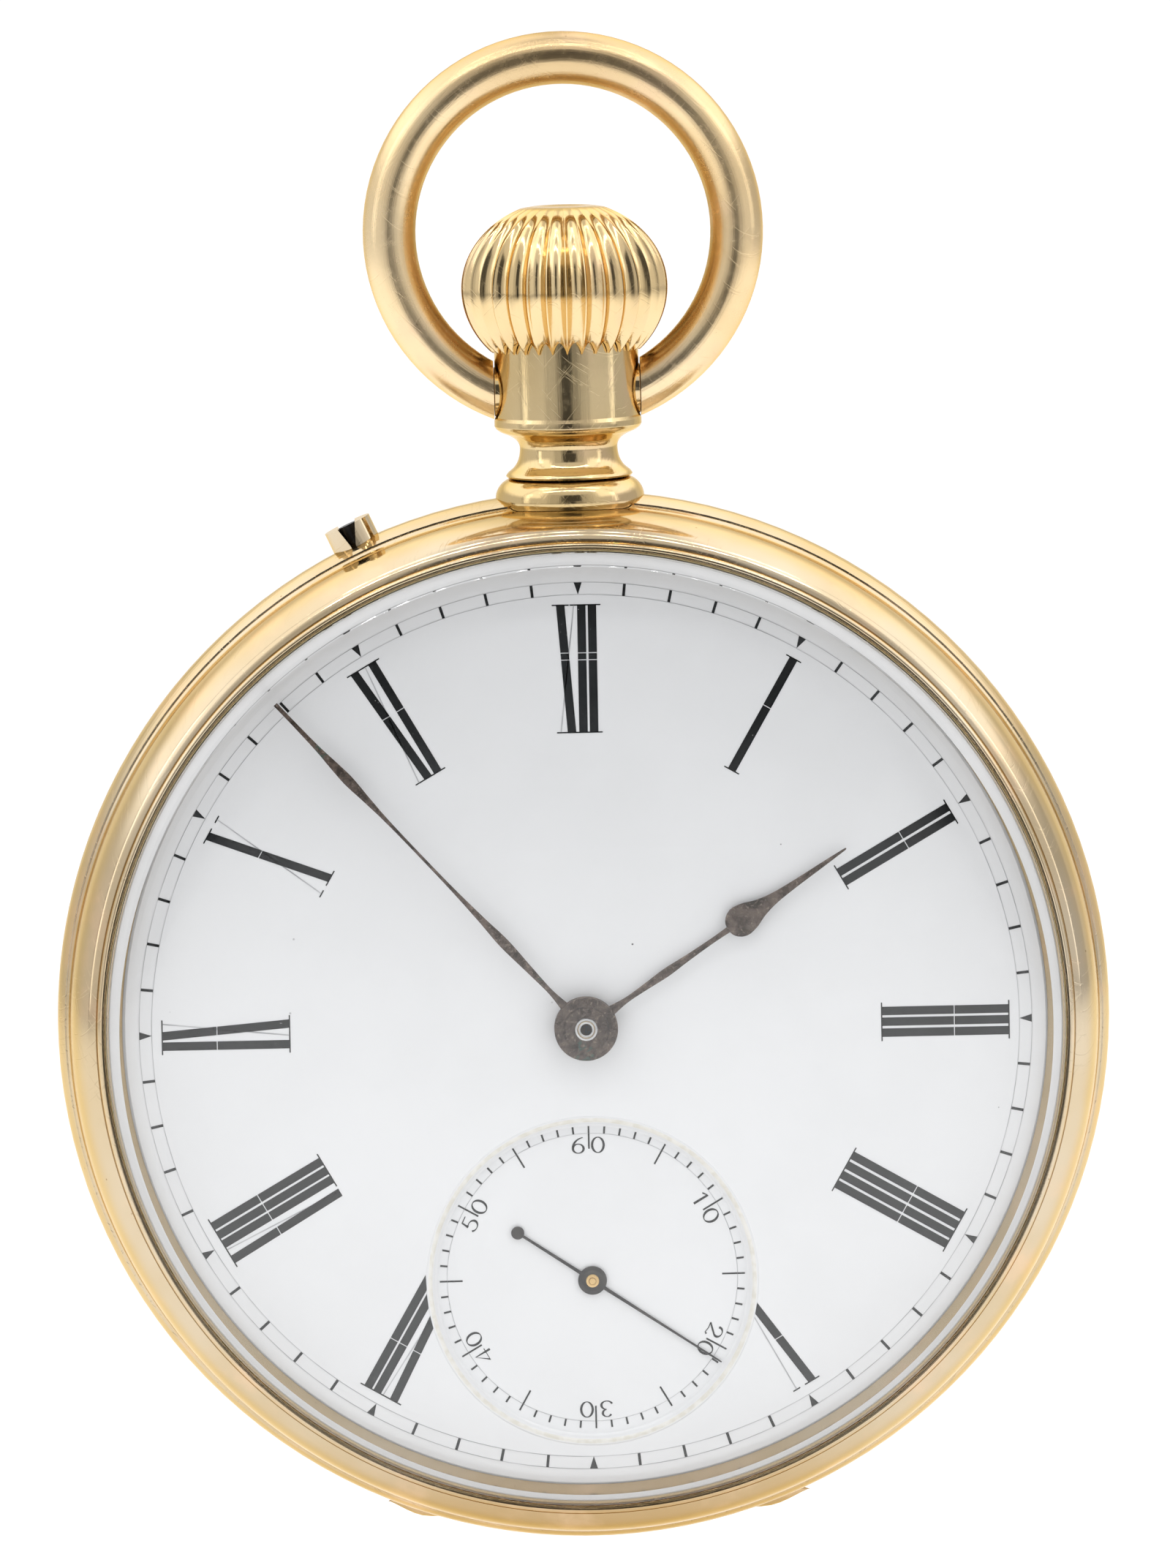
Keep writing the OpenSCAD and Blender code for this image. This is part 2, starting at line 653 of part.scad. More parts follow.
// outline shared by the two bridges, on one side of the line between them
module bridge_blank(side) {
  height = pillar_z - bridge_z;
  difference() {
    translate([0, 0, bridge_z]) cylinder(r = plate_d / 2 - 0.1, h = height, $fn = 180);
    rotate(25) translate([-30, side > 0 ? -60 + 2 : 1.85, 0]) cube([60, 60, 9]);
    at(balance_at, 0) cylinder(r = balance_d / 2 + 0.7, h = 9, $fn = 120);
    rotate(cock_turn) translate([-8, 13, 0]) cube([16, 10, 9]);
    for (turn = case_screw_turns) {
      rotate(turn) translate([0, case_screw_r, 0]) cylinder(r = 1.4, h = 9, $fn = 48);
    }
  }
}

module barrel_bridge() {
  color(brass) upright() difference() {
    bridge_blank(1);
    at(barrel_at, 0) cylinder(r = 0.7 + slack, h = 9, $fn = 48);
    at(crown_wheel_at, bridge_z - 1) tube(4.75, 2.9, 1.42);
    at(crown_wheel_at, 0) cylinder(r = 0.36, h = 9, $fn = 32);
    translate([-1.6, 17.3, 0]) cube([3.2, 1.3, 9]);
    along_stem(17.35) cylinder(r = 2.5, h = 1.2);
    at(click_at, 0) cylinder(r = 0.36, h = 9, $fn = 32);
    at(click_at + click_spring_offset, 0) cylinder(r = 0.26, h = 9, $fn = 32);
    screw_holes(barrel_bridge_screws, 0, 9);
    screw_holes(barrel_bridge_screws, 0, bridge_z + 0.35, 0.72);
  }
}

module train_bridge() {
  color(brass) upright() difference() {
    bridge_blank(-1);
    cylinder(r = 0.4 + slack, h = 9, $fn = 48);
    for (place = train_places) {
      at(place, 0) cylinder(r = 0.7, h = 9, $fn = 48);
    }
    screw_holes(train_bridge_screws, 0, 9);
    screw_holes(train_bridge_screws, 0, bridge_z + 0.35, 0.72);
  }
}

module balance_cock() {
  low_z = 1.75;
  color(brass) upright() difference() {
    union() {
      at(balance_at, low_z) cylinder(r = 2.2, h = 0.5);
      at(balance_at, low_z - 0.14) cylinder(r = 0.9, h = 0.2, $fn = 48);
      rotate(cock_turn) translate([-1.6, norm(balance_at), low_z]) cube([3.2, 7.8, 0.5]);
      rotate(cock_turn) intersection() {
        translate([0, 0, low_z]) tube(21.1, 20.2, pillar_z - low_z);
        translate([-6, 15, 0]) cube([12, 9, 9]);
      }
    }
    at(balance_at, 0) cylinder(r = 0.6, h = 9, $fn = 48);
    screw_holes(cock_screws, 0, 9, 0.26, cock_screw_r);
    screw_holes(cock_screws, 0, low_z + 0.35, 0.4, cock_screw_r);
  }
}

// place of a pillar of the pallet cock, from the pallet arbor
function pallet_pillar(side) =
  0.6 * [cos(fork_line), sin(fork_line)] + side * 1.9 * [sin(fork_line), -cos(fork_line)];

module pallet_cock() {
  color(brass) upright() difference() {
    union() {
      at(pallet_at, 3.34) rotate(fork_line) translate([-0.6, -2.4, 0]) cube([1.7, 4.8, 0.26]);
      for (side = [-1, 1]) {
        at(pallet_at + pallet_pillar(side), 3.36) cylinder(r = 0.5, h = plate_low_z - 3.36, $fn = 40);
        at(pallet_at + pallet_pillar(side), 3.36) cylinder(r = 0.3, h = 3.5, $fn = 32);
      }
    }
    at(pallet_at, 3) cylinder(r = 0.12 + slack, h = 1, $fn = 32);
    at(escape_at, 3) cylinder(r = 3.2, h = 3);
  }
}

module jewels() {
  color("crimson") upright() for (jewel = jewel_places) {
    at(jewel[0], jewel[1]) tube(jewel[3], jewel[2] + slack, 0.4, $fn = 48);
  }
}

module bridge_screws() {
  color(blued) upright() {
    for (turn = concat(barrel_bridge_screws, train_bridge_screws)) {
      rotate(turn) translate([0, screw_ring_r, bridge_z]) screw(0.7, 0.35, 0.35, 2.4);
    }
    for (turn = cock_screws) {
      rotate(turn) translate([0, cock_screw_r, 1.78]) screw(0.38, 0.32, 0.25, 2.6);
    }
  }
}

module case_screws() {
  color(blued) upright() for (turn = case_screw_turns) {
    rotate(turn) translate([0, case_screw_r, 2.98]) screw(1.2, 0.36, 0.35, 2);
  }
}

// ---- barrel and winding work ----

module barrel() {
  color(brass) upright() at(barrel_at, 4.2) difference() {
    union() {
      cylinder(r = 8, h = 1.45, $fn = 120);
      translate([0, 0, 1]) linear_extrude(0.45) polygon(gear_points(barrel_teeth, great_m));
    }
    translate([0, 0, -e]) cylinder(r = 7.65, h = 1.11, $fn = 120);
    cylinder(r = 1.1 + slack, h = 3, $fn = 48);
  }
}

module barrel_lid() {
  color(brass) upright() at(barrel_at, 4.2) tube(7.65, 1.1 + slack, 0.25, $fn = 120);
}

module barrel_arbor() {
  color(steel) upright() at(barrel_at) difference() {
    union() {
      translate([0, 0, 1.8]) cylinder(r = 0.7, h = 5.9, $fn = 48);
      translate([0, 0, 4.22]) cylinder(r = 1.1, h = 1.4, $fn = 48);
      translate([0, 0, 4.55]) cylinder(r = 1.6, h = 0.65, $fn = 48);
    }
    cylinder(r = 0.35, h = 2.9, $fn = 32);
  }
}

module mainspring() {
  color(steel) upright() at(barrel_at, 4.58) spiral(2, 7.3, 6, 0.25, 0.6);
}

module ratchet_wheel() {
  turn = mesh_turn(ratchet_teeth, heading(crown_wheel_at, barrel_at), crown_wheel_teeth, 0);
  color(steel) upright() at(barrel_at, 1.8) gear(ratchet_teeth, wind_m, 0.44, 0.7, turn);
}

module ratchet_screw() {
  color(blued) upright() at(barrel_at, 1.6) screw(1.3, 0.2, 0.34, 1.25);
}

module crown_wheel() {
  color(steel) upright() at(crown_wheel_at, 1.8) difference() {
    union() {
      gear(crown_wheel_teeth, wind_m, 0.44, 0.6);
      for (i = [0 : crown_wheel_teeth - 1]) {
        rotate((i + 0.5) * 360 / crown_wheel_teeth) translate([3.15, -0.14, 0.2]) cube([1.0, 0.28, 0.62]);
      }
    }
    translate([0, 0, -e]) cylinder(r = 0.6 + slack, h = 2, $fn = 48);
  }
}

module crown_wheel_screw() {
  color(blued) upright() at(crown_wheel_at, 1.6) union() {
    screw(1.3, 0.19, 0.35, 1.6);
    translate([0, 0, 0.18]) cylinder(r = 0.6, h = 0.52, $fn = 48);
  }
}

module click() {
  tip = 5.98 * [cos(190), sin(190)] - 7.4 * [cos(215), sin(215)];
  color(steel) upright() at(click_at, 1.8) difference() {
    union() {
      cylinder(r = 0.85, h = 0.42, $fn = 48);
      rotate(heading([0, 0], tip)) translate([0, -0.02, 0]) cube([norm(tip), 0.55, 0.42]);
    }
    translate([0, 0, -e]) cylinder(r = 0.34 + slack, h = 1, $fn = 32);
  }
}

module click_spring() {
  color(steel) upright() at(click_at, 1.82) {
    translate([-1.75, -0.9, 0]) cube([0.16, 4.4, 0.36]);
    at(click_spring_offset) cylinder(r = 0.55, h = 0.48, $fn = 40);
    at(click_spring_offset) cylinder(r = 0.25, h = 1.1, $fn = 32);
    difference() {
      cylinder(r = 0.34, h = 1.3, $fn = 32);
      translate([0, 0, 1.2]) cylinder(r = 1, h = 1);
    }
  }
}

// ---- going train ----

module centre_wheel() {
  turn = mesh_turn(pinion_leaves[0], heading(barrel_at, [0, 0]), barrel_teeth, 0);
  color(brass) upright() {
    translate([0, 0, 3.6]) spoked_gear(wheel_teeth[0], centre_m, 0.25, 0.5);
    translate([0, 0, 5]) gear(pinion_leaves[0], great_m, 0.75, 0.3, turn);
    translate([0, 0, 3.6]) cylinder(r = 0.9, h = 1.4, $fn = 48);
    translate([0, 0, 2.35]) cylinder(r = 0.4, h = 7.95, $fn = 48);
  }
}

module third_wheel() {
  turn = mesh_turn(pinion_leaves[1], heading([0, 0], third_at), wheel_teeth[0], 0);
  color(brass) upright() at(third_at) {
    translate([0, 0, 5.2]) spoked_gear(wheel_teeth[1], third_m, 0.2, 0.3);
    translate([0, 0, 3.5]) gear(pinion_leaves[1], centre_m, 0.62, 0.2, turn);
    translate([0, 0, 3.45]) cylinder(r = 0.35, h = 2.3, $fn = 40);
    translate([0, 0, 2.37]) cylinder(r = 0.2, h = 5.4, $fn = 40);
  }
}

module fourth_wheel() {
  turn = mesh_turn(pinion_leaves[2], heading(third_at, fourth_at), wheel_teeth[1], 0);
  color(brass) upright() at(fourth_at) {
    translate([0, 0, 4.45]) spoked_gear(wheel_teeth[2], fourth_m, 0.2, 0.3);
    translate([0, 0, 5.05]) gear(pinion_leaves[2], third_m, 0.58, 0.2, turn);
    translate([0, 0, 3.45]) cylinder(r = 0.35, h = 2.3, $fn = 40);
    translate([0, 0, 2.37]) cylinder(r = 0.2, h = 6.5, $fn = 40);
    translate([0, 0, 8.8]) cylinder(r = 0.15, h = 0.5, $fn = 32);
  }
}

module escape_wheel() {
  turn = mesh_turn(pinion_leaves[3], heading(fourth_at, escape_at), wheel_teeth[2], 0);
  color(brass) upright() at(escape_at) {
    translate([0, 0, 3.75]) difference() {
      linear_extrude(0.2) polygon([
        for (i = [0 : 14], k = [0 : 3])
          let (r = [2.3, escape_r, escape_r - 0.05, 2.3][k])
          let (a = i * 24 + [0, 9, 12, 9][k])
          [r * cos(a), r * sin(a)]
      ]);
      for (i = [0 : 3]) {
        rotate(i * 90) spoke_window(1.9, 0.9, 45, 0.2);
      }
    }
    translate([0, 0, 4.3]) gear(pinion_leaves[3], fourth_m, 0.5, 0.15, turn);
    translate([0, 0, 3.5]) cylinder(r = 0.3, h = 1.8, $fn = 40);
    translate([0, 0, 2.37]) cylinder(r = 0.15, h = 5.4, $fn = 40);
  }
}

module pallet_fork() {
  color(steel) upright() at(pallet_at) rotate(fork_line) {
    fork_reach = 3.42;
    stone_x = 3.62 - 3.2 * cos(30);
    translate([0, 0, 3.75]) linear_extrude(0.2) union() {
      polygon([[-0.35, -0.2], [fork_reach - 0.5, -0.2], [fork_reach - 0.4, -0.42],
        [fork_reach, -0.36], [fork_reach - 0.2, 0], [fork_reach, 0.36],
        [fork_reach - 0.4, 0.42], [fork_reach - 0.5, 0.2], [-0.35, 0.2]]);
      for (side = [-1, 1]) {
        polygon([[0.25, 0], [-0.3, 0], [-stone_x - 0.1, side * 1.55],
          [-stone_x + 0.05, side * 1.95], [-stone_x + 0.45, side * 1.9]]);
      }
    }
    translate([0, 0, 3.65]) cylinder(r = 0.3, h = 1.4, $fn = 40);
    translate([0, 0, 3.38]) cylinder(r = 0.12, h = 4.4, $fn = 32);
  }
}

module balance_wheel() {
  rim_r = balance_d / 2 - 0.1;
  color(brass) upright() at(balance_at, 2.75) difference() {
    union() {
      tube(rim_r, rim_r - 0.5, 0.5, $fn = 120);
      rotate(30) translate([-rim_r + 0.3, -0.35, 0.1]) cube([2 * rim_r - 0.6, 0.7, 0.25]);
      for (i = [0 : 13]) {
        rotate(i * 360 / 14 + 12) translate([rim_r - 0.1, 0, 0.25]) rotate([0, 90, 0])
          cylinder(r = 0.22, h = 0.4, $fn = 24);
      }
    }
    translate([0, 0, -e]) cylinder(r = 0.4, h = 1, $fn = 40);
  }
}

module balance_staff() {
  color(steel) upright() at(balance_at) {
    translate([0, 0, 2.3]) cylinder(r = 0.4, h = 2.6, $fn = 40);
    translate([0, 0, 1.73]) cylinder(r = 0.12, h = 6, $fn = 32);
    translate([0, 0, 3.45]) cylinder(r = 1.05, h = 0.15, $fn = 48);
    rotate(fork_line + 180) translate([0.85, 0, 3.45]) cylinder(r = 0.12, h = 0.6, $fn = 24);
  }
}

module hairspring() {
  color("steelblue") upright() at(balance_at, 2.35) spiral(0.6, 3.6, 8, 0.07, 0.25);
}

module regulator() {
  color(steel) upright() at(balance_at, 1.62) difference() {
    union() {
      cylinder(r = 1.5, h = 0.11, $fn = 48);
      rotate(heading(balance_at, [0, 0]) + 150) translate([0, -0.2, 0]) cube([4.6, 0.4, 0.11]);
      rotate(heading(balance_at, [0, 0]) - 30) translate([0, -0.3, 0]) cube([2.5, 0.6, 0.11]);
    }
    translate([0, 0, -e]) cylinder(r = 0.9 + slack, h = 1, $fn = 48);
  }
}

// ---- motion work under the dial ----

module cannon_pinion() {
  color(steel) upright() difference() {
    union() {
      translate([0, 0, 7.25]) linear_extrude(0.45) polygon(gear_points(cannon_leaves, motion_m));
      translate([0, 0, 7.25]) cylinder(r = 0.75, h = 2.68, $fn = 48);
      translate([0, 0, 7.25]) cylinder(r = 0.53, h = 3.05, $fn = 48);
    }
    translate([0, 0, 7]) cylinder(r = 0.4 + slack, h = 4, $fn = 48);
  }
}

module minute_wheel() {
  turn = mesh_turn(minute_teeth, heading([0, 0], minute_at), cannon_leaves, 0);
  color(brass) upright() at(minute_at) {
    translate([0, 0, 7.3]) gear(minute_teeth, motion_m, 0.25, 0.2, turn);
    translate([0, 0, 7.5]) gear(minute_leaves, hour_m, 0.6, 0.2, 0);
    translate([0, 0, 6.52]) cylinder(r = 0.28, h = 1.7, $fn = 40);
  }
}

module hour_wheel() {
  turn = mesh_turn(hour_teeth, heading(minute_at, [0, 0]), minute_leaves, 0);
  color(brass) upright() difference() {
    union() {
      translate([0, 0, 7.82]) linear_extrude(0.25) rotate(turn) polygon(gear_points(hour_teeth, hour_m));
      translate([0, 0, 7.82]) cylinder(r = 1.1, h = 1.85, $fn = 48);
    }
    translate([0, 0, 7]) cylinder(r = 0.75 + slack, h = 4, $fn = 48);
  }
}

case_middle();
pendant_base();
pendant();
bezel();
crystal();
back_cover();
cuvette();
hinge_pin();
bow();
bow_screws();
crown();
stem();
winding_pinion();
guard_ears();
set_pin();
setting_lever();
setting_spring();
dial();
dial_feet();
seconds_dial();
hour_hand();
minute_hand();
seconds_hand();
main_plate();
barrel_bridge();
train_bridge();
balance_cock();
pallet_cock();
barrel();
barrel_lid();
barrel_arbor();
mainspring();
ratchet_wheel();
ratchet_screw();
crown_wheel();
crown_wheel_screw();
click();
click_spring();
centre_wheel();
third_wheel();
fourth_wheel();
escape_wheel();
pallet_fork();
balance_wheel();
balance_staff();
hairspring();
regulator();
cannon_pinion();
minute_wheel();
hour_wheel();
jewels();
bridge_screws();
case_screws();
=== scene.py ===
"""Looks of an open face pocket watch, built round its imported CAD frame.

Places are (x, z, d) in millimetres: x towards 3 o'clock, z towards 12 o'clock, and d out through the
dial, measured from the back of the watch. Profiles of turned pieces are lists of (radius, height), where
a third number rounds that corner.
"""

import math
import random
import bmesh
import bpy
from mathutils import Matrix, Vector


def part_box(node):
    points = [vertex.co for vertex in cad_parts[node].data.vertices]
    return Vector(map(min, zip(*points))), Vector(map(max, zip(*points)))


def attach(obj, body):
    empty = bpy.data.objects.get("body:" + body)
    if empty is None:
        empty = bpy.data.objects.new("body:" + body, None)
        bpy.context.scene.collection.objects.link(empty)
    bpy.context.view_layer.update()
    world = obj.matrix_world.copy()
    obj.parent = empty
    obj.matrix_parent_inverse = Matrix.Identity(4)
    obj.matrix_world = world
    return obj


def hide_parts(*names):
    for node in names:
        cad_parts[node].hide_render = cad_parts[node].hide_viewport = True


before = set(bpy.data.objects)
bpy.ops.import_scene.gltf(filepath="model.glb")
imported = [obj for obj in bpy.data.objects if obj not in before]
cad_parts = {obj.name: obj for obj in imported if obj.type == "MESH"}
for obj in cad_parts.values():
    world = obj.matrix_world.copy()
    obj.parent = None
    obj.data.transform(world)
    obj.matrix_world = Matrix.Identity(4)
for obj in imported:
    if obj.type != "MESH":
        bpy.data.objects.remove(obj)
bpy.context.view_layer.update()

MM = 0.001
STEM_D = 5.15            # depth of the pendant's and the winding stem's axis
SECONDS_Z = -12.1        # centre of the seconds dial
SECONDS_CENTRE = (0, SECONDS_Z + 0.13)   # centre of its printing
INK = 0.012              # thickness of the printing on the dial
PRINT_TURN = 0.46        # the dial sits turned clockwise in its case by this many degrees


def spot(x, z, d):
    """World point of a place in millimetres."""
    return Vector((x, -d, z)) * MM


def face_depth(node):
    """How far in front of the back a CAD node's front face is, in millimetres."""
    return -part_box(node)[0].y / MM


OPENING = 22.70          # radius inside the bezel's bead
CRYSTAL_EDGE = 22.58     # radius of the crystal
BULB_FOOT = 24.0         # how near the dial's axis the pendant's rounded foot reaches
BOW_Z = 37.3             # centre of the bow's ring
BOW_PIVOT_Z = 29.8       # axis on which the bow swings
DIAL_D = face_depth("dial")
SECONDS_DIAL_D = face_depth("seconds_dial")


# ---- materials ----


class Look:
    """A Principled material whose detail is built from textures in object space, in millimetres."""

    def __init__(self, name, **values):
        self.material = bpy.data.materials.new(name)
        self.material.use_nodes = True
        self.tree = self.material.node_tree
        self.shader = self.tree.nodes["Principled BSDF"]
        for socket, value in values.items():
            self.shader.inputs[socket.replace("_", " ")].default_value = value
        coordinates = self.node("ShaderNodeTexCoord")
        self.space = self.node("ShaderNodeMapping", Scale=(1 / MM,) * 3)
        self.link(coordinates.outputs["Object"], self.space.inputs["Vector"])

    def node(self, kind, **inputs):
        """New node with its input values set."""
        node = self.tree.nodes.new(kind)
        for socket, value in inputs.items():
            node.inputs[socket.replace("_", " ")].default_value = value
        return node

    def link(self, output, target):
        self.tree.links.new(output, target)

    def feed(self, output, socket):
        """Drives one of the shader's own sockets."""
        self.link(output, self.shader.inputs[socket])

    def stretched(self, scale, turn=(0, 0, 0)):
        """Coordinates stretched and turned, for streaks."""
        turned = self.node("ShaderNodeMapping", Rotation=[math.radians(t) for t in turn])
        self.link(self.space.outputs[0], turned.inputs["Vector"])
        scaled = self.node("ShaderNodeMapping", Scale=scale)
        self.link(turned.outputs[0], scaled.inputs["Vector"])
        return scaled.outputs[0]

    def noise(self, scale, detail=4.0, roughness=0.55, space=None):
        """Noise value with `scale` features per millimetre."""
        noise = self.node("ShaderNodeTexNoise", Scale=scale, Detail=detail, Roughness=roughness)
        self.link(space or self.space.outputs[0], noise.inputs["Vector"])
        return noise.outputs["Fac"]

    def cells(self, scale):
        """Distance to scattered points."""
        cells = self.node("ShaderNodeTexVoronoi", Scale=scale)
        self.link(self.space.outputs[0], cells.inputs["Vector"])
        return cells.outputs["Distance"]

    def ramp(self, value, low, high, start=0.0, end=1.0):
        """Value mapped smoothly from low..high to start..end."""
        ranged = self.node("ShaderNodeMapRange")
        ranged.interpolation_type = "SMOOTHSTEP"
        for i, number in enumerate((low, high, start, end)):
            ranged.inputs[i + 1].default_value = number
        self.link(value, ranged.inputs[0])
        return ranged.outputs[0]

    def maths(self, operation, a, b):
        """Sum, product or other result of an output and an output or number."""
        node = self.node("ShaderNodeMath")
        node.operation = operation
        self.link(a, node.inputs[0])
        if isinstance(b, (int, float)):
            node.inputs[1].default_value = b
        else:
            self.link(b, node.inputs[1])
        return node.outputs[0]

    def mix(self, share, a, b):
        """Colour mixed from a to b, each a colour or an output."""
        node = self.node("ShaderNodeMix")
        node.data_type = "RGBA"
        self.link(share, node.inputs["Factor"])
        for side, socket in ((a, node.inputs[6]), (b, node.inputs[7])):
            if isinstance(side, tuple):
                socket.default_value = (*side, 1)
            else:
                self.link(side, socket)
        return node.outputs[2]

    def bump(self, height, distance, strength=1.0):
        """Relief of that height in millimetres."""
        bump = self.node("ShaderNodeBump", Distance=distance * MM, Strength=strength)
        self.link(height, bump.inputs["Height"])
        self.feed(bump.outputs[0], "Normal")

    def height(self):
        """Height towards 12 o'clock."""
        split = self.node("ShaderNodeSeparateXYZ")
        self.link(self.space.outputs[0], split.inputs[0])
        return split.outputs["Z"]

    def distance(self, x, z):
        """Distance from a line through the watch at (x, z)."""
        across = self.node("ShaderNodeVectorMath")
        across.operation = "MULTIPLY"
        self.link(self.space.outputs[0], across.inputs[0])
        across.inputs[1].default_value = (1, 0, 1)
        far = self.node("ShaderNodeVectorMath")
        far.operation = "DISTANCE"
        self.link(across.outputs[0], far.inputs[0])
        far.inputs[1].default_value = (x, 0, z)
        return far.outputs["Value"]

    def crevices(self, reach):
        """1 in the open, towards 0 deep in a corner or groove, looking `reach` millimetres around."""
        occlusion = self.node("ShaderNodeAmbientOcclusion", Distance=reach * MM)
        occlusion.samples = 4
        return occlusion.outputs["AO"]


def gold_look(name="gold", pale=(0.60, 0.50, 0.36), deep=(0.56, 0.445, 0.285), polish=0.09, painted_shade=None,
              fine_lines=None):
    """Worn gold: slow changes of tint, fine scratches, grime and painted shade deep in the corners, and a few
    dark specks.

    The optional callable for painted shade gives, from place to place, the share of a deeper tint painted as
    shade, and fine_lines(look) the relief of the fine lines left by its making.
    """
    look = Look(name, Metallic=1.0, Specular_Tint=(0.92, 0.76, 0.48, 1))
    tint = look.ramp(look.noise(0.11, 3), 0.38, 0.62)
    colour = look.mix(tint, deep, pale)
    # painted shade: a deeper brown tint laid over the gold where the mask says it should look shaded
    if painted_shade:
        colour = look.mix(painted_shade(look), colour, (0.47, 0.31, 0.135))
    rose = look.ramp(look.noise(0.27, 4, 0.55), 0.5, 0.74, 0, 0.6)
    colour = look.mix(rose, colour, (0.73, 0.52, 0.34))
    speck = look.maths("MULTIPLY", look.ramp(look.cells(1.3), 0.045, 0.08, 0.8, 0),
                       look.ramp(look.noise(0.5, 2), 0.6, 0.66))
    colour = look.mix(speck, colour, (0.2, 0.11, 0.045))
    # grime and painted shade: the colour turns dark brown, and the gold rougher, where corners and grooves
    # are occluded
    occluded_grime_and_shade = look.ramp(look.crevices(0.22), 0.05, 0.4, 0.5, 0)
    colour = look.mix(occluded_grime_and_shade, colour, (0.2, 0.11, 0.045))
    look.feed(colour, "Base Color")
    fine = look.noise(2.2, 6, 0.65)
    haze = look.ramp(look.noise(0.2, 3), 0.35, 0.7, polish, polish + 0.07)
    roughness = look.maths("ADD", haze, look.ramp(fine, 0.48, 0.75, 0, 0.07))
    look.feed(look.maths("ADD", roughness, look.maths("MULTIPLY", occluded_grime_and_shade, 0.3)), "Roughness")
    scratch = look.noise(1.0, 3, 0.5, look.stretched((9, 0.35, 0.35), (20, 34, 52)))
    across = look.noise(1.0, 3, 0.5, look.stretched((0.3, 0.3, 8), (-15, 48, -30)))
    lines = look.maths("ADD", look.ramp(scratch, 0.62, 0.67, 0, 0.5), look.ramp(across, 0.63, 0.68, 0, 0.4))
    relief = look.maths("ADD", look.maths("MULTIPLY", look.noise(0.3, 3), 1.4),
                        look.maths("MULTIPLY", lines, -0.8))
    relief = look.maths("ADD", relief, look.maths("MULTIPLY", fine, 0.12))
    if fine_lines:
        relief = look.maths("ADD", relief, fine_lines(look))
    look.bump(relief, 0.004)
    return look.material


def enamel_look(name, tone):
    """Fired white enamel: faintly uneven, glossy, with a few pinholes."""
    look = Look(name, Roughness=0.16, Coat_Weight=0.4, Coat_Roughness=0.04)
    cloud = look.ramp(look.noise(0.16, 4), 0.35, 0.65)
    colour = look.mix(cloud, tone, tuple(c * 0.975 for c in tone))
    pinhole = look.maths("MULTIPLY", look.ramp(look.cells(0.42), 0.018, 0.03, 1, 0),
                         look.ramp(look.noise(0.3, 2), 0.5, 0.56))
    look.feed(look.mix(pinhole, colour, (0.05, 0.05, 0.055)), "Base Color")
    look.bump(look.noise(0.35, 3), 0.004)
    return look.material


def rim_look(tone):
    """Enamel edge of the sunk seconds dial, with the cream-coloured line of its solder."""
    look = Look("enamel_rim", Roughness=0.22, Coat_Weight=0.5, Coat_Roughness=0.06)
    away = look.distance(0, SECONDS_Z)
    line = look.maths("MULTIPLY", look.ramp(away, 7.54, 7.6), look.ramp(away, 7.74, 7.8, 1, 0))
    cream = look.mix(look.ramp(look.noise(2.5, 3), 0.35, 0.65), (0.66, 0.64, 0.57), (0.74, 0.73, 0.69))
    look.feed(look.mix(line, tone, cream), "Base Color")
    look.bump(look.noise(3.0, 2), 0.003)
    return look.material


def ink_look():
    """Black fired printing, worn through in small white spots."""
    look = Look("dial_ink", Roughness=0.5, Specular_IOR_Level=0.25)
    worn = look.maths("MULTIPLY", look.ramp(look.cells(5.0), 0.06, 0.11, 1, 0),
                      look.ramp(look.noise(1.2, 2), 0.6, 0.68))
    faded = look.ramp(look.noise(0.12, 2), 0.42, 0.58)
    colour = look.mix(faded, (0.002, 0.003, 0.004), (0.009, 0.011, 0.013))
    look.feed(look.mix(worn, colour, (0.5, 0.5, 0.5)), "Base Color")
    look.bump(look.noise(9.0, 2), 0.001)
    return look.material


def hairline_look():
    """Thin grey printing of the finest lines."""
    look = Look("dial_hairline", Roughness=0.5, Specular_IOR_Level=0.25)
    faded = look.ramp(look.noise(0.4, 3), 0.35, 0.65)
    look.feed(look.mix(faded, (0.30, 0.305, 0.32), (0.5, 0.505, 0.52)), "Base Color")
    return look.material


def aged_copper_look():
    """Tarnished copper of the hands: brown patina, bare edges and a touch of green."""
    look = Look("tarnished_copper", Metallic=0.85)
    patch = look.ramp(look.noise(1.8, 6, 0.72), 0.36, 0.64)
    colour = look.mix(patch, (0.04, 0.03, 0.024), (0.155, 0.118, 0.098))
    pale = look.ramp(look.noise(6.0, 4, 0.7), 0.55, 0.66, 0, 0.8)
    colour = look.mix(pale, colour, (0.31, 0.245, 0.205))
    green = look.maths("MULTIPLY", look.ramp(look.noise(0.5, 2), 0.6, 0.68),
                       look.ramp(look.noise(5, 4), 0.5, 0.6))
    look.feed(look.mix(green, colour, (0.06, 0.10, 0.085)), "Base Color")
    look.feed(look.ramp(look.noise(3.0, 5), 0.3, 0.7, 0.28, 0.62), "Roughness")
    look.bump(look.noise(6.0, 5, 0.7), 0.028)
    return look.material


def steel_look(name, low, high, roughness):
    """Worked steel with fine graining."""
    look = Look(name, Metallic=1.0)
    grain = look.noise(1.0, 4, 0.6, look.stretched((14, 1.2, 1.2), (0, 25, 40)))
    stain = look.ramp(look.noise(0.9, 4), 0.4, 0.68)
    look.feed(look.mix(stain, low, high), "Base Color")
    look.feed(look.ramp(grain, 0.3, 0.7, roughness, roughness + 0.16), "Roughness")
    look.bump(grain, 0.003)
    return look.material


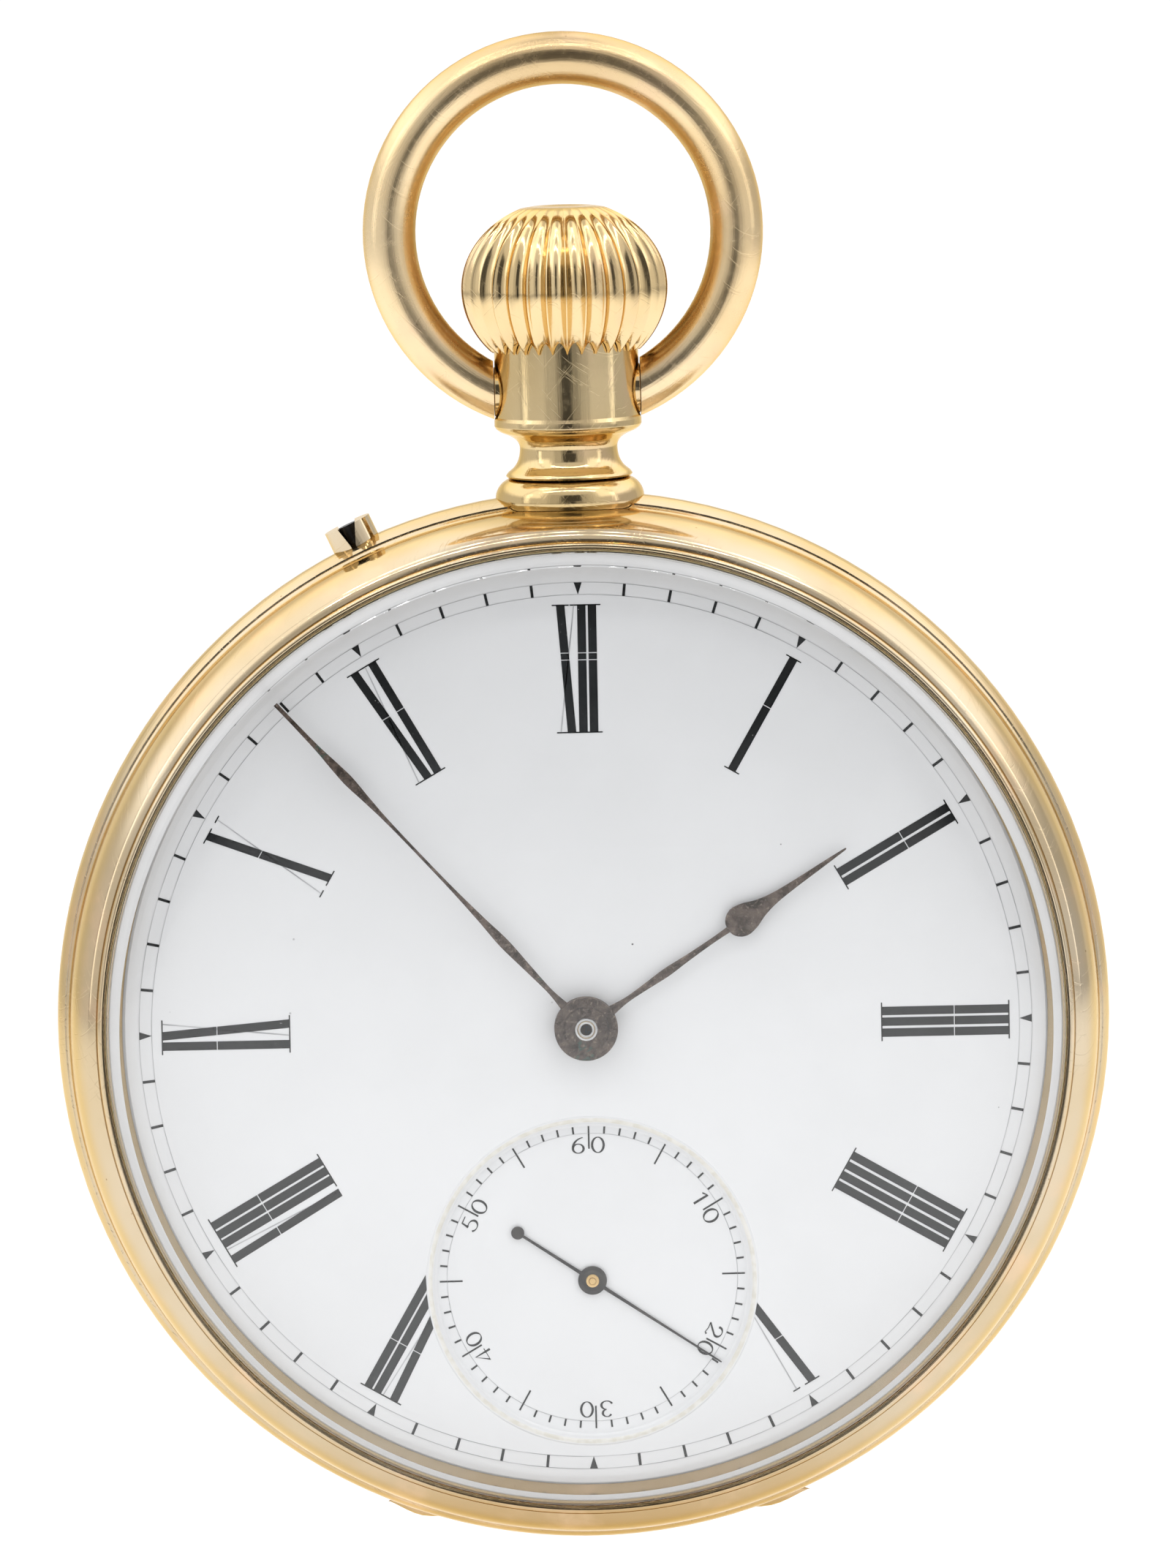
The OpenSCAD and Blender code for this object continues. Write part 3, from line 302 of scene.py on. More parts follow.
def gilt_brass_look():
    """Frosted gilding of the movement."""
    look = Look("gilding", Metallic=1.0)
    cloud = look.ramp(look.noise(0.25, 4), 0.35, 0.65)
    look.feed(look.mix(cloud, (0.70, 0.46, 0.17), (0.84, 0.60, 0.28)), "Base Color")
    grain = look.noise(14.0, 3, 0.6)
    look.feed(look.ramp(grain, 0.3, 0.7, 0.28, 0.46), "Roughness")
    look.bump(grain, 0.006)
    return look.material


def ruby_look():
    """Ring jewels."""
    look = Look("synthetic_ruby", Roughness=0.08, Coat_Weight=1.0, Coat_Roughness=0.03)
    cloud = look.ramp(look.noise(3.0, 2), 0.35, 0.65)
    look.feed(look.mix(cloud, (0.38, 0.01, 0.05), (0.55, 0.03, 0.10)), "Base Color")
    return look.material


def copper_look():
    """Bare copper of the dial's feet."""
    look = Look("bare_copper", Metallic=1.0)
    cloud = look.ramp(look.noise(0.8, 4), 0.35, 0.65)
    look.feed(look.mix(cloud, (0.62, 0.30, 0.18), (0.76, 0.42, 0.28)), "Base Color")
    look.feed(look.ramp(look.noise(4, 4), 0.3, 0.7, 0.25, 0.45), "Roughness")
    return look.material


def grime_look():
    """Old polish and dirt packed into the bezel's groove, darkest along its outer edge where painted shade of
    the gap deepens the dirt, with its inner part olive gold as a painted reflection of the gold.
    """
    look = Look("groove_dirt", Roughness=0.8)
    crumb = look.noise(4.5, 6, 0.75)
    dark = look.mix(look.ramp(crumb, 0.4, 0.62), (0.035, 0.015, 0.006), (0.26, 0.14, 0.055))
    # painted reflection: the inner part is olive gold, standing for the bezel seen in the crystal's bevel;
    # the dark outer part is dirt with painted shade
    outer = look.ramp(look.distance(0, 0), OPENING - 0.045, OPENING - 0.025)
    look.feed(look.mix(outer, (0.42, 0.34, 0.17), dark), "Base Color")
    look.bump(crumb, 0.05)
    return look.material


def glass_look():
    """Clear crystal. Lamps and soft light pass straight through, and the eye sees it bend what is behind."""
    look = Look("crystal", Base_Color=(1, 1, 1, 1), Transmission_Weight=1.0, IOR=1.5)
    smear = look.noise(0.22, 5, 0.65)
    look.feed(look.ramp(smear, 0.4, 0.75, 0.0, 0.02), "Roughness")
    path = look.node("ShaderNodeLightPath")
    passes = look.maths("MAXIMUM", path.outputs["Is Shadow Ray"], path.outputs["Is Diffuse Ray"])
    clear = look.node("ShaderNodeBsdfTransparent")
    mixed = look.node("ShaderNodeMixShader")
    look.link(passes, mixed.inputs[0])
    look.link(look.shader.outputs[0], mixed.inputs[1])
    look.link(clear.outputs[0], mixed.inputs[2])
    look.link(mixed.outputs[0], look.tree.nodes["Material Output"].inputs["Surface"])
    return look.material


def along_the_bow(look):
    """Relief of fine lines running round the bow, along its wire."""
    around = look.node("ShaderNodeCombineXYZ")
    look.link(look.maths("MULTIPLY", look.distance(0, BOW_Z), 7.0), around.inputs["X"])
    split = look.node("ShaderNodeSeparateXYZ")
    look.link(look.space.outputs[0], split.inputs[0])
    look.link(look.maths("MULTIPLY", split.outputs["Y"], 7.0), around.inputs["Y"])
    look.link(look.maths("MULTIPLY", split.outputs["X"], 0.3), around.inputs["Z"])
    return look.maths("MULTIPLY", look.noise(1.0, 4, 0.6, around.outputs[0]), 2.4)


def up_the_pendant(look):
    """Relief of fine upright lines."""
    return look.maths("MULTIPLY", look.noise(1.0, 4, 0.6, look.stretched((6, 6, 0.25))), 1.6)


# painted shade: the lower part of the case, below about 18.5 mm under the centre, is painted darker
GOLD = gold_look(painted_shade=lambda look: look.ramp(look.height(), -25, -18.5, 0.95, 0))
# painted shade: the inside of the bow's ring and the top of the bow are painted darker
BOW_GOLD = gold_look("bow_gold", (0.82, 0.645, 0.40), (0.75, 0.56, 0.315), 0.2,
                     lambda look: look.maths("MAXIMUM", look.ramp(look.distance(0, BOW_Z), 7.1, 7.9, 1, 0),
                                             look.ramp(look.height(), 42, 46, 0, 0.6)), along_the_bow)
STEM_GOLD = gold_look("pendant_gold", (0.67, 0.525, 0.30), (0.61, 0.455, 0.23), 0.07,
                      fine_lines=up_the_pendant)
CROWN_GOLD = gold_look("crown_gold", (0.78, 0.60, 0.34), (0.69, 0.505, 0.25), 0.09)
INNER_GOLD = gold_look("inner_gold", (0.76, 0.61, 0.38), (0.71, 0.54, 0.31), 0.05)
COPPER_HANDS = aged_copper_look()
DARK_STEEL = steel_look("blackened_steel", (0.022, 0.021, 0.022), (0.07, 0.066, 0.062), 0.34)
POLISHED_STEEL = steel_look("grained_steel", (0.50, 0.51, 0.53), (0.62, 0.62, 0.62), 0.16)
SATIN_STEEL = steel_look("satin_steel", (0.62, 0.62, 0.62), (0.75, 0.74, 0.73), 0.42)
BLUED_STEEL = steel_look("heat_blued_steel", (0.02, 0.035, 0.16), (0.05, 0.06, 0.22), 0.14)
GILDING = gilt_brass_look()
ENAMEL_WHITE = (0.74, 0.75, 0.765)
ENAMEL = enamel_look("white_enamel", ENAMEL_WHITE)
INK_BLACK = ink_look()
HAIRLINE = hairline_look()
ENAMEL_RIM = rim_look(ENAMEL_WHITE)
GROOVE_DIRT_AND_REFLECTION = grime_look()
GLASS = glass_look()

SLOT_LOOKS = {
    "case_gold": GOLD,
    "crystal_glass": GLASS,
    "dial_enamel": ENAMEL,
    "aged_copper": COPPER_HANDS,
    "dark_steel": DARK_STEEL,
    "gilt_brass": GILDING,
    "polished_steel": POLISHED_STEEL,
    "blued_steel": BLUED_STEEL,
    "ruby": ruby_look(),
    "copper": copper_look(),
}


def dress_cad_nodes():
    """Gives each CAD node the look of its material slot."""
    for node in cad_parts.values():
        for i, material in enumerate(node.data.materials):
            node.data.materials[i] = SLOT_LOOKS[material.name.split(".")[0]]
    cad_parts["cuvette"].data.materials[0] = INNER_GOLD
    for node in ("bow", "bow_screws"):
        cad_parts[node].data.materials[0] = BOW_GOLD


# ---- mesh tools ----


def shade(mesh, sharp):
    """Smooth shading, except across edges sharper than that many degrees."""
    work = bmesh.new()
    work.from_mesh(mesh)
    bmesh.ops.remove_doubles(work, verts=work.verts, dist=1e-7)
    bmesh.ops.recalc_face_normals(work, faces=work.faces)
    for face in work.faces:
        face.smooth = True
    for edge in work.edges:
        edge.smooth = len(edge.link_faces) == 2 and edge.calc_face_angle(0) < math.radians(sharp)
    work.to_mesh(mesh)
    work.free()


def add_object(name, points, faces, look, sharp=32):
    """Object from points in metres."""
    mesh = bpy.data.meshes.new(name)
    mesh.from_pydata(points, [], faces)
    if look:
        mesh.materials.append(look)
    shade(mesh, sharp)
    made = bpy.data.objects.new(name, mesh)
    bpy.context.scene.collection.objects.link(made)
    return made


def carved_mesh(piece, taken):
    """Mesh of an object with a closed shape (points, faces) cut out of it."""
    tool = add_object("cutter", *taken, None)
    modifier = piece.modifiers.new("carve", "BOOLEAN")
    modifier.operation, modifier.solver, modifier.object = "DIFFERENCE", "EXACT", tool
    evaluated = piece.evaluated_get(bpy.context.evaluated_depsgraph_get())
    carved = bpy.data.meshes.new_from_object(evaluated)
    piece.modifiers.clear()
    bpy.data.objects.remove(tool)
    return carved


def cut_from(shape, taken):
    """Points and faces of one closed shape with another taken away."""
    piece = add_object("shape", *shape, None)
    carved = carved_mesh(piece, taken)
    bpy.data.objects.remove(piece)
    points = [vertex.co.copy() for vertex in carved.vertices]
    return points, [tuple(face.vertices) for face in carved.polygons]


def joined(*parts):
    """Several point and face lists as one."""
    points, faces = [], []
    for more_points, more_faces in parts:
        faces += [tuple(i + len(points) for i in face) for face in more_faces]
        points += more_points
    return points, faces


def add_piece(name, points, faces, look, body, slot, stands_for=(), sharp=32, carved_by=None):
    """Piece of the watch on one body, with an optional closed shape (points, faces) cut out of it."""
    piece = add_object(name, points, faces, look, sharp)
    if carved_by:
        piece.data = carved_mesh(piece, carved_by)
        shade(piece.data, sharp)
    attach(piece, body)
    if stands_for:
        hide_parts(*stands_for)
    return piece


def rounded(profile, steps=5):
    """Profile with each corner that has a third number rounded by an arc of that radius."""
    count = len(profile)
    points = []
    for i, corner in enumerate(profile):
        here = Vector(corner[:2])
        if len(corner) < 3:
            points.append(tuple(here))
            continue
        before = Vector(profile[i - 1][:2]) - here
        after = Vector(profile[(i + 1) % count][:2]) - here
        half = before.angle(after) / 2
        reach = min(corner[2] / math.tan(half), before.length * 0.49, after.length * 0.49)
        start, end = here + before.normalized() * reach, here + after.normalized() * reach
        for k in range(steps + 1):
            t = k / steps
            points.append(tuple(start.lerp(here, t).lerp(here.lerp(end, t), t)))
    return points


def turn_about(profile, place, steps):
    """Points and faces of a profile turned in so many steps. place(radius, height, angle) gives a point."""
    points, rings, faces = [], [], []
    for radius, height in profile:
        on_axis = abs(radius) < 1e-6
        turns = 1 if on_axis else steps
        rings.append([len(points) + k for k in range(turns)])
        points += [place(radius, height, 2 * math.pi * k / steps) for k in range(turns)]
    closed = len(rings[0]) > 1 or len(rings[-1]) > 1
    pairs = list(zip(rings, rings[1:])) + ([(rings[-1], rings[0])] if closed else [])
    for a, b in pairs:
        for k in range(steps):
            corners = [a[k % len(a)], a[(k + 1) % len(a)], b[(k + 1) % len(b)], b[k % len(b)]]
            kept = [c for j, c in enumerate(corners) if c != corners[j - 1]]
            if len(kept) > 2:
                faces.append(kept)
    return points, faces


def on_dial_axis(x=0.0, z=0.0):
    """Placing rule for pieces turned about a line through the dial, heights being depths."""
    return lambda r, d, a: spot(x + r * math.sin(a), z + r * math.cos(a), d)


def on_pendant_axis(r, z, a):
    """Placing rule for pieces turned about the pendant's axis."""
    return spot(r * math.sin(a), z, STEM_D + r * math.cos(a))


def smooth_curve(points, per_span=6):
    """Points of a Catmull-Rom curve through (position, value) points."""
    ends = [points[0]] + list(points) + [points[-1]]
    out = []
    for a, b, c, d in zip(ends, ends[1:], ends[2:], ends[3:]):
        for k in range(per_span):
            t = k / per_span
            out.append(tuple(
                0.5 * (2 * b[i] + (c[i] - a[i]) * t + (2 * a[i] - 5 * b[i] + 4 * c[i] - d[i]) * t ** 2
                       + (3 * b[i] - a[i] - 3 * c[i] + d[i]) * t ** 3)
                for i in (0, 1)))
    return out + [tuple(points[-1])]


# ---- case ----


def bulb_profile(grow, bore):
    """Rounded foot of the pendant, grown by an allowance, with a bore of that radius."""
    middle = BULB_FOOT + 0.68
    arc_points = [(2.6 + (0.93 + grow) * math.cos(a), middle + (1 + grow) * math.sin(a))
                  for a in (math.radians(-25 + 6 * i) for i in range(19))]
    return [(bore, BULB_FOOT - 0.6 - grow), (3.3 + grow, BULB_FOOT - 0.6 - grow)] + arc_points + [
        (bore, middle + 1 + grow)]


def bezel():
    """Bezel with its turned-over lip, bellied band and bead, notched for the pendant's foot."""
    lip_d, lip_r = 6.95, 24.56
    band = [(lip_r - 0.16 - 1.55 * (1 - math.cos(a) ** 0.85), lip_d + 0.3 + 3.75 * math.sin(a))
            for a in (math.radians(4 + 79 * i / 22) for i in range(23))]
    bead = [(OPENING + 0.17 + 0.17 * math.cos(a), 11.2 + 0.2 * math.sin(a))
            for a in (math.radians(10 + 160 * i / 12) for i in range(13))]
    profile = [(23.58, lip_d + 0.03), (lip_r - 0.06, lip_d + 0.03, 0.04), (lip_r, lip_d + 0.12, 0.05),
               (lip_r, lip_d + 0.24, 0.1), (lip_r - 0.1, lip_d + 0.36, 0.12)]
    profile += band + [(OPENING + 0.37, 10.93, 0.03)] + bead
    profile += [(OPENING, 11.0), (OPENING + 0.22, 11.0), (OPENING + 0.22, 10.74),
                (OPENING - 0.5, 10.74, 0.04), (OPENING - 0.88, DIAL_D + 0.05, 0.02), (22.98, DIAL_D + 0.05),
                (22.98, 8.27), (23.58, 8.17)]
    notch = turn_about(bulb_profile(0.04, 0), on_pendant_axis, 96)
    kept_r = BULB_FOOT - 0.05
    inside = turn_about([(0, 6.5), (kept_r, 6.5), (kept_r, 12), (0, 12)], on_dial_axis(), 240)
    add_piece("bezel_ring", *turn_about(rounded(profile), on_dial_axis(), 300), GOLD, "bezel", "case_gold",
              ["bezel"], carved_by=cut_from(notch, inside))


def pendant_foot():
    """Rounded foot of the pendant, let into the bezel's outer edge."""
    outline = turn_about([(0, 6.9), (BULB_FOOT, 6.9), (BULB_FOOT, 12), (0, 12)], on_dial_axis(), 240)
    add_piece("pendant_foot", *turn_about(bulb_profile(0, 1.9), on_pendant_axis, 120), STEM_GOLD, "case",
              "case_gold", ["pendant_base"], carved_by=outline)


def pendant():
    """Pendant tube with its waisted neck, and the round seats that the bow's ends turn against."""
    waist = smooth_curve([(3.0, 25.79), (2.9, 25.94), (2.6, 26.2), (2.4, 26.55), (2.32, 26.95), (2.34, 27.25),
                          (2.5, 27.5), (2.8, 27.7), (3.2, 27.87), (3.42, 28.03)], 4)
    profile = [(1.9, 25.71), (2.95, 25.71, 0.03)] + waist + [
        (3.49, 28.16, 0.06), (3.49, 28.42, 0.03), (3.415, 28.6, 0.08), (3.415, 32.22), (3.335, 32.3),
        (2.9, 32.3), (2.9, 30.9), (1.9, 30.9)]
    seat = rounded([(0.55, 2.7), (0.55, 3.455), (1.17, 3.455, 0.05), (1.17, 2.7)])

    def on_pivot_axis(side):
        """Placing rule for pieces turned about the axis on which the bow swings."""
        return lambda r, h, a: spot(side * h, BOW_PIVOT_Z + r * math.sin(a), STEM_D + r * math.cos(a))

    seats = [turn_about(seat, on_pivot_axis(side), 64) for side in (-1, 1)]
    tube = turn_about(rounded(profile), on_pendant_axis, 144)
    add_piece("pendant_tube", *joined(tube, *seats), STEM_GOLD, "case", "case_gold", ["pendant"])


def bezel_dirt():
    """Dirt packed between the bezel's bead and the crystal, with painted shade and a painted reflection of
    the gold in its colour.
    """
    rng = random.Random(7)
    steps, rows = 720, 6
    ragged = [rng.uniform(0, 1) for _ in range(steps)]
    points, faces = [], []
    for k in range(steps):
        angle = 2 * math.pi * k / steps
        rough = (ragged[k] + ragged[k - 1] + ragged[(k + 1) % steps]) / 3
        for j in range(rows):
            share = j / (rows - 1)
            radius = OPENING + 0.01 - 0.085 * (1 - share)
            lift = 0.05 * rough * math.sin(math.pi * share) + 0.05 * share ** 3
            points.append(spot(radius * math.sin(angle), radius * math.cos(angle), 11.1 + lift))
        for j in range(rows - 1):
            a, b = k * rows + j, (k + 1) % steps * rows + j
            faces.append((a, a + 1, b + 1, b))
    add_piece("bezel_groove_dirt_and_painted_reflection", points, faces, GROOVE_DIRT_AND_REFLECTION, "bezel", "case_gold", sharp=180)


def crystal():
    """Thick flat crystal with a bevelled edge and a slightly domed face."""
    edge, flange = CRYSTAL_EDGE, OPENING + 0.18
    dome = [(r, 12.5 - 0.12 * (r / edge) ** 2) for r in (0, 2, 5, 8, 11, 14, 17, 19.5, edge - 0.9)]
    outer = [(edge - 0.6, 12.33, 0.03), (edge, 11.71, 0.05), (edge, 10.97), (flange, 10.97), (flange, 10.77),
             (edge - 0.35, 10.77, 0.05), (edge - 0.7, 10.9)]
    inner = [(r, 11.1 - 0.06 * max(0, r - 19) ** 2 / 4) for r in (21, 20, 19, 15, 10, 5, 0)]
    add_piece("crystal_disc", *turn_about(rounded(dome + outer + inner), on_dial_axis(), 240), GLASS, "bezel",
              "crystal_glass", ["crystal"], sharp=24)


def crown():
    """Ribbed crown: an egg-shaped body with narrow ribs, drawn to points over the pendant's rim."""
    ribs, rows = 32, 44
    across = (0, 0.035, 0.07, 0.12, 0.22, 0.36, 0.5, 0.64, 0.78, 0.88, 0.93, 0.965)  # columns, crest to crest
    per_rib, crest_share, crest_depth = len(across), 0.14, 0.25
    widest_r, widest_z, round_h, tip_z, skirt_r, top_z = 4.88, 34.65, 4.13, 31.68, 3.47, 38.42
    count = ribs * per_rib

    def crest(z):
        """Radius of the ribs' crests at that height."""
        tall = round_h if z > widest_z else round_h + 0.2
        return widest_r * math.sqrt(max(0, 1 - ((z - widest_z) / tall) ** 2))

    def column(depth):
        """Radii and heights up a rib's crest (depth 0) or a groove's bottom (depth 1)."""
        foot = tip_z + 0.58 * depth
        low, high = (math.asin((z - widest_z) / (round_h + 0.2)) for z in (foot, top_z + 0.03))
        for j in range(rows + 1):
            z = min(widest_z + (round_h + 0.2) * math.sin(low + (high - low) * j / rows), top_z)
            radius = crest(z) * (1 - 0.08 * depth * min(1, (38.7 - z) / 1.2))
            yield (max(skirt_r + 0.01, radius) if z < 33 else radius), z

    points, faces = [], []
    turns = [2 * math.pi * (k // per_rib + across[k % per_rib]) / ribs for k in range(count)]
    for k, turn in enumerate(turns):
        away = 2 * min(across[k % per_rib], 1 - across[k % per_rib])
        if away <= crest_share:
            depth = crest_depth * (away / crest_share) ** 2
        else:
            depth = 1 - (1 - crest_depth) * ((1 - away) / (1 - crest_share)) ** 2
        points += [on_pendant_axis(radius, z, turn) for radius, z in column(depth)]
    for k in range(count):
        here, beside = k * (rows + 1), (k + 1) % count * (rows + 1)
        faces += [(here + j, beside + j, beside + j + 1, here + j + 1) for j in range(rows)]

    def close(rim, rings):
        """Joins a rim to rings of (radius, height), and fills the last. A height of None is the rim's own."""
        for radius, z in rings:
            start = len(points)
            for k in range(count):
                height = points[rim[k]].z / MM if z is None else z
                points.append(on_pendant_axis(radius, height, turns[k]))
            for k in range(count):
                faces.append((rim[k], rim[(k + 1) % count], start + (k + 1) % count, start + k))
            rim = list(range(start, start + count))
        points.append(on_pendant_axis(0, rings[-1][1], 0))
        faces.extend((rim[k], rim[(k + 1) % count], len(points) - 1) for k in range(count))

    close([k * (rows + 1) for k in range(count)],
          [(skirt_r, None), (skirt_r, 32.41), (2.4, 32.41), (0.9, 32.41)])
    close([k * (rows + 1) + rows for k in range(count)], [(1.5, 38.5), (1.2, 38.5), (0.9, 38.45)])
    add_piece("crown_ribbed", points, faces, CROWN_GOLD, "crown", "case_gold", ["crown"], sharp=50)


# ---- dial printing ----


class Printing:
    """Thin raised printing on a flat face at depth d, in dial coordinates."""

    def __init__(self, depth):
        self.base, self.points, self.faces = depth, [], []

    def polygon(self, outline):
        """Plate of ink with that (x, z) outline, in order round it."""
        start, n = len(self.points), len(outline)
        self.points += [spot(x, z, self.base + 0.001) for x, z in outline]
        self.points += [spot(x, z, self.base + INK) for x, z in outline]
        self.faces.append(tuple(range(start + n, start + 2 * n)))
        self.faces.append(tuple(range(start + n - 1, start - 1, -1)))
        for k in range(n):
            j = (k + 1) % n
            self.faces.append((start + k, start + j, start + n + j, start + n + k))

    def ribbon(self, left, right):
        """Strip of ink between two lines with as many points each."""
        for a, b, c, d in zip(left, left[1:], right[1:], right):
            self.polygon([a, b, c, d])

    def ring(self, centre, radius, width, steps=360):
        """Thin circle."""
        lines = [[(centre[0] + r * math.sin(a), centre[1] + r * math.cos(a))
                  for a in (2 * math.pi * k / steps for k in range(steps + 1))]
                 for r in (radius - width / 2, radius + width / 2)]
        self.ribbon(*lines)

    def piece(self, name, look):
        add_piece(name, self.points, self.faces, look, "case", "dial_enamel", sharp=20)


def polar(turn, v, u=0.0, centre=(0.0, 0.0)):
    """Point at distance v from centre, `turn` degrees clockwise from 12, and u sideways, clockwise."""
    a = math.radians(turn)
    return (centre[0] + v * math.sin(a) + u * math.cos(a), centre[1] + v * math.cos(a) - u * math.sin(a))


def bar(turn, inner, outer, half, side=0.0, centre=(0.0, 0.0)):
    """Outline of a straight mark from one distance to another, `half` its width, set `side` sideways."""
    return [polar(turn, v, side + u, centre) for v, u in
            ((inner, -half), (outer, -half), (outer, half), (inner, half))]


# strokes of each hour: (outer place, inner place) across the numeral, thick ones first and then thin ones
NUMERALS = {
    12: ([(-0.84, -0.39), (0.15, 0.15), (0.65, 0.65)], [(-0.21, -0.91)]),
    1: ([(0.12, 0.12)], []),
    2: ([(-0.11, -0.11), (0.41, 0.41)], []),
    3: ([(-0.47, -0.47), (0.04, 0.04), (0.56, 0.56)], []),
    4: ([(-0.73, -0.73), (-0.21, -0.21), (0.31, 0.31), (0.82, 0.82)], []),
    5: ([(-0.48, 0.21)], [(0.37, 0.28)]),
    7: ([(-0.65, -0.31), (0.24, 0.24), (0.73, 0.73)], [(-0.08, -0.41)]),
    8: ([(-0.84, -0.72), (0.01, 0.01), (0.50, 0.50), (1.0, 1.0)], [(-0.30, -0.66)]),
    9: ([(-0.52, -0.52), (-0.03, 0.46)], [(0.54, -0.10)]),
    10: ([(-0.66, 0.37)], [(0.24, -0.47)]),
    11: ([(-0.68, -0.25), (0.28, 0.28)], [(-0.09, -0.75)]),
}
NUMERAL_OUTER, NUMERAL_INNER = 19.98, 13.97
THICK, THIN, SERIF = 0.40, 0.055, 0.06
GUIDE_R, GUIDE_GAP = 17.4, 0.04   # circle scribed through the numerals


def stroke_end(turn, outer, inner):
    """How far in a line from outer to inner reaches before the sunk seconds dial, from 0 to 1."""
    clear = 7.86
    for k in range(401):
        share = k / 400
        v = NUMERAL_OUTER + (NUMERAL_INNER - NUMERAL_OUTER) * share
        x, z = polar(turn, v, outer + (inner - outer) * share)
        if math.hypot(x, z - SECONDS_Z) < clear:
            return share
    return 1.0


def numeral_stroke(ink, turn, outer, inner, width, gaps=()):
    """One stroke of a numeral, broken by thin gaps."""
    sides = []
    for side in (-width / 2, width / 2):
        sides.append((side, stroke_end(turn, outer + side, inner + side)))
    length = NUMERAL_OUTER - NUMERAL_INNER
    cuts = sorted((NUMERAL_OUTER - gap) / length for gap in gaps)
    starts = [0.0] + [c + GUIDE_GAP / 2 / length for c in cuts]
    ends = [c - GUIDE_GAP / 2 / length for c in cuts] + [1.0]
    for start, end in zip(starts, ends):
        outline = []
        for (side, limit), order in zip(sides, ((start, end), (end, start))):
            for share in order:
                share = min(share, limit)
                v = NUMERAL_OUTER - length * share
                outline.append(polar(turn, v, outer + (inner - outer) * share + side))
        if start < min(limit for _, limit in sides):
            ink.polygon(outline)
    return min(limit for _, limit in sides) == 1.0


def numerals():
    """Roman hours, upright to the centre, with hairline serifs."""
    ink, fine = Printing(DIAL_D), Printing(DIAL_D)
    for hour, (thick, thin) in NUMERALS.items():
        turn = 30 * hour + PRINT_TURN
        gaps = [GUIDE_R, GUIDE_R + 0.33] if hour == 12 else [GUIDE_R]
        strokes = [(s, THICK, 0.4, gaps, ink) for s in thick] + [(s, THIN, 0.19, (), fine) for s in thin]
        for (outer, inner), width, reach, broken, printing in strokes:
            whole = numeral_stroke(printing, turn, outer, inner, width, broken)
            ends = [(NUMERAL_OUTER, outer)] + ([(NUMERAL_INNER, inner)] if whole else [])
            if hour == 8 and inner < -0.6:
                ends = ends[:1]
            for v, u in ends:
                ink.polygon(bar(turn, v - SERIF / 2, v + SERIF / 2, reach, u))
    ink.piece("dial_numerals", INK_BLACK)
    fine.piece("dial_numeral_hairlines", HAIRLINE)


def minute_track():
    """Minute marks between two hairline circles, with a pointer at every fifth."""
    outer, inner = 21.06, 20.47
    ink, fine = Printing(DIAL_D), Printing(DIAL_D)
    for minute in range(60):
        turn = 6 * minute + PRINT_TURN
        if minute % 5:
            ink.polygon(bar(turn, inner, outer, 0.065))
        else:
            ink.polygon([polar(turn, v, u) for v, u in ((inner, 0), (outer, -0.19), (outer, 0.19))])
    for radius in (inner, outer):
        fine.ring((0, 0), radius, 0.026)
    ink.piece("dial_minute_marks", INK_BLACK)
    fine.piece("dial_minute_circles", HAIRLINE)


def arc(cx, cy, rx, ry, start, end, steps=14):
    """Points of an arc, angles in degrees anticlockwise from +x."""
    return [(cx + rx * math.cos(a), cy + ry * math.sin(a))
            for a in (math.radians(start + (end - start) * k / steps) for k in range(steps + 1))]


# pen lines of each figure in a box 0.6 wide and 1 tall
FIGURES = {
    "0": [arc(0.3, 0.5, 0.27, 0.47, 90, 450, 24)],
    "1": [[(0.1, 0.78), (0.32, 1.0), (0.32, 0.0)]],
    "2": [arc(0.28, 0.72, 0.23, 0.25, 200, -35) + [(0.04, 0.04)],
          [(0.04, 0.04), (0.3, 0.08), (0.56, 0.02), (0.6, 0.14)]],
    "3": [arc(0.28, 0.75, 0.2, 0.22, 160, -80), arc(0.28, 0.27, 0.26, 0.26, 85, -160)],
    "4": [[(0.44, 0.0), (0.44, 1.0), (0.02, 0.3), (0.6, 0.3)]],
    "5": [[(0.5, 0.97), (0.16, 0.94), (0.12, 0.5)], arc(0.28, 0.3, 0.26, 0.28, 128, -155)],
    "6": [arc(0.3, 0.3, 0.25, 0.28, 90, 450, 20), arc(0.62, 0.32, 0.57, 0.66, 100, 182)],
}


def figure(ink, text, turn, left, height, base):
    """Writes one figure, its top outwards, its left edge `left` sideways and its foot at distance `base`."""
    heavy, light, breadth = 0.11, 0.04, 1.3
    for line in FIGURES[text]:
        sides = ([], [])
        for k, (x, y) in enumerate(line):
            x0, y0 = line[max(k - 1, 0)]
            x1, y1 = line[min(k + 1, len(line) - 1)]
            length = math.hypot(x1 - x0, y1 - y0) or 1
            tx, ty = (x1 - x0) / length, (y1 - y0) / length
            half = (light + (heavy - light) * abs(ty) ** 2) / 2
            for side, sign in zip(sides, (-1, 1)):
                u = left + breadth * x * height - sign * ty * half
                side.append(polar(turn, base + y * height + sign * tx * half, u, SECONDS_CENTRE))
        ink.ribbon(*sides)


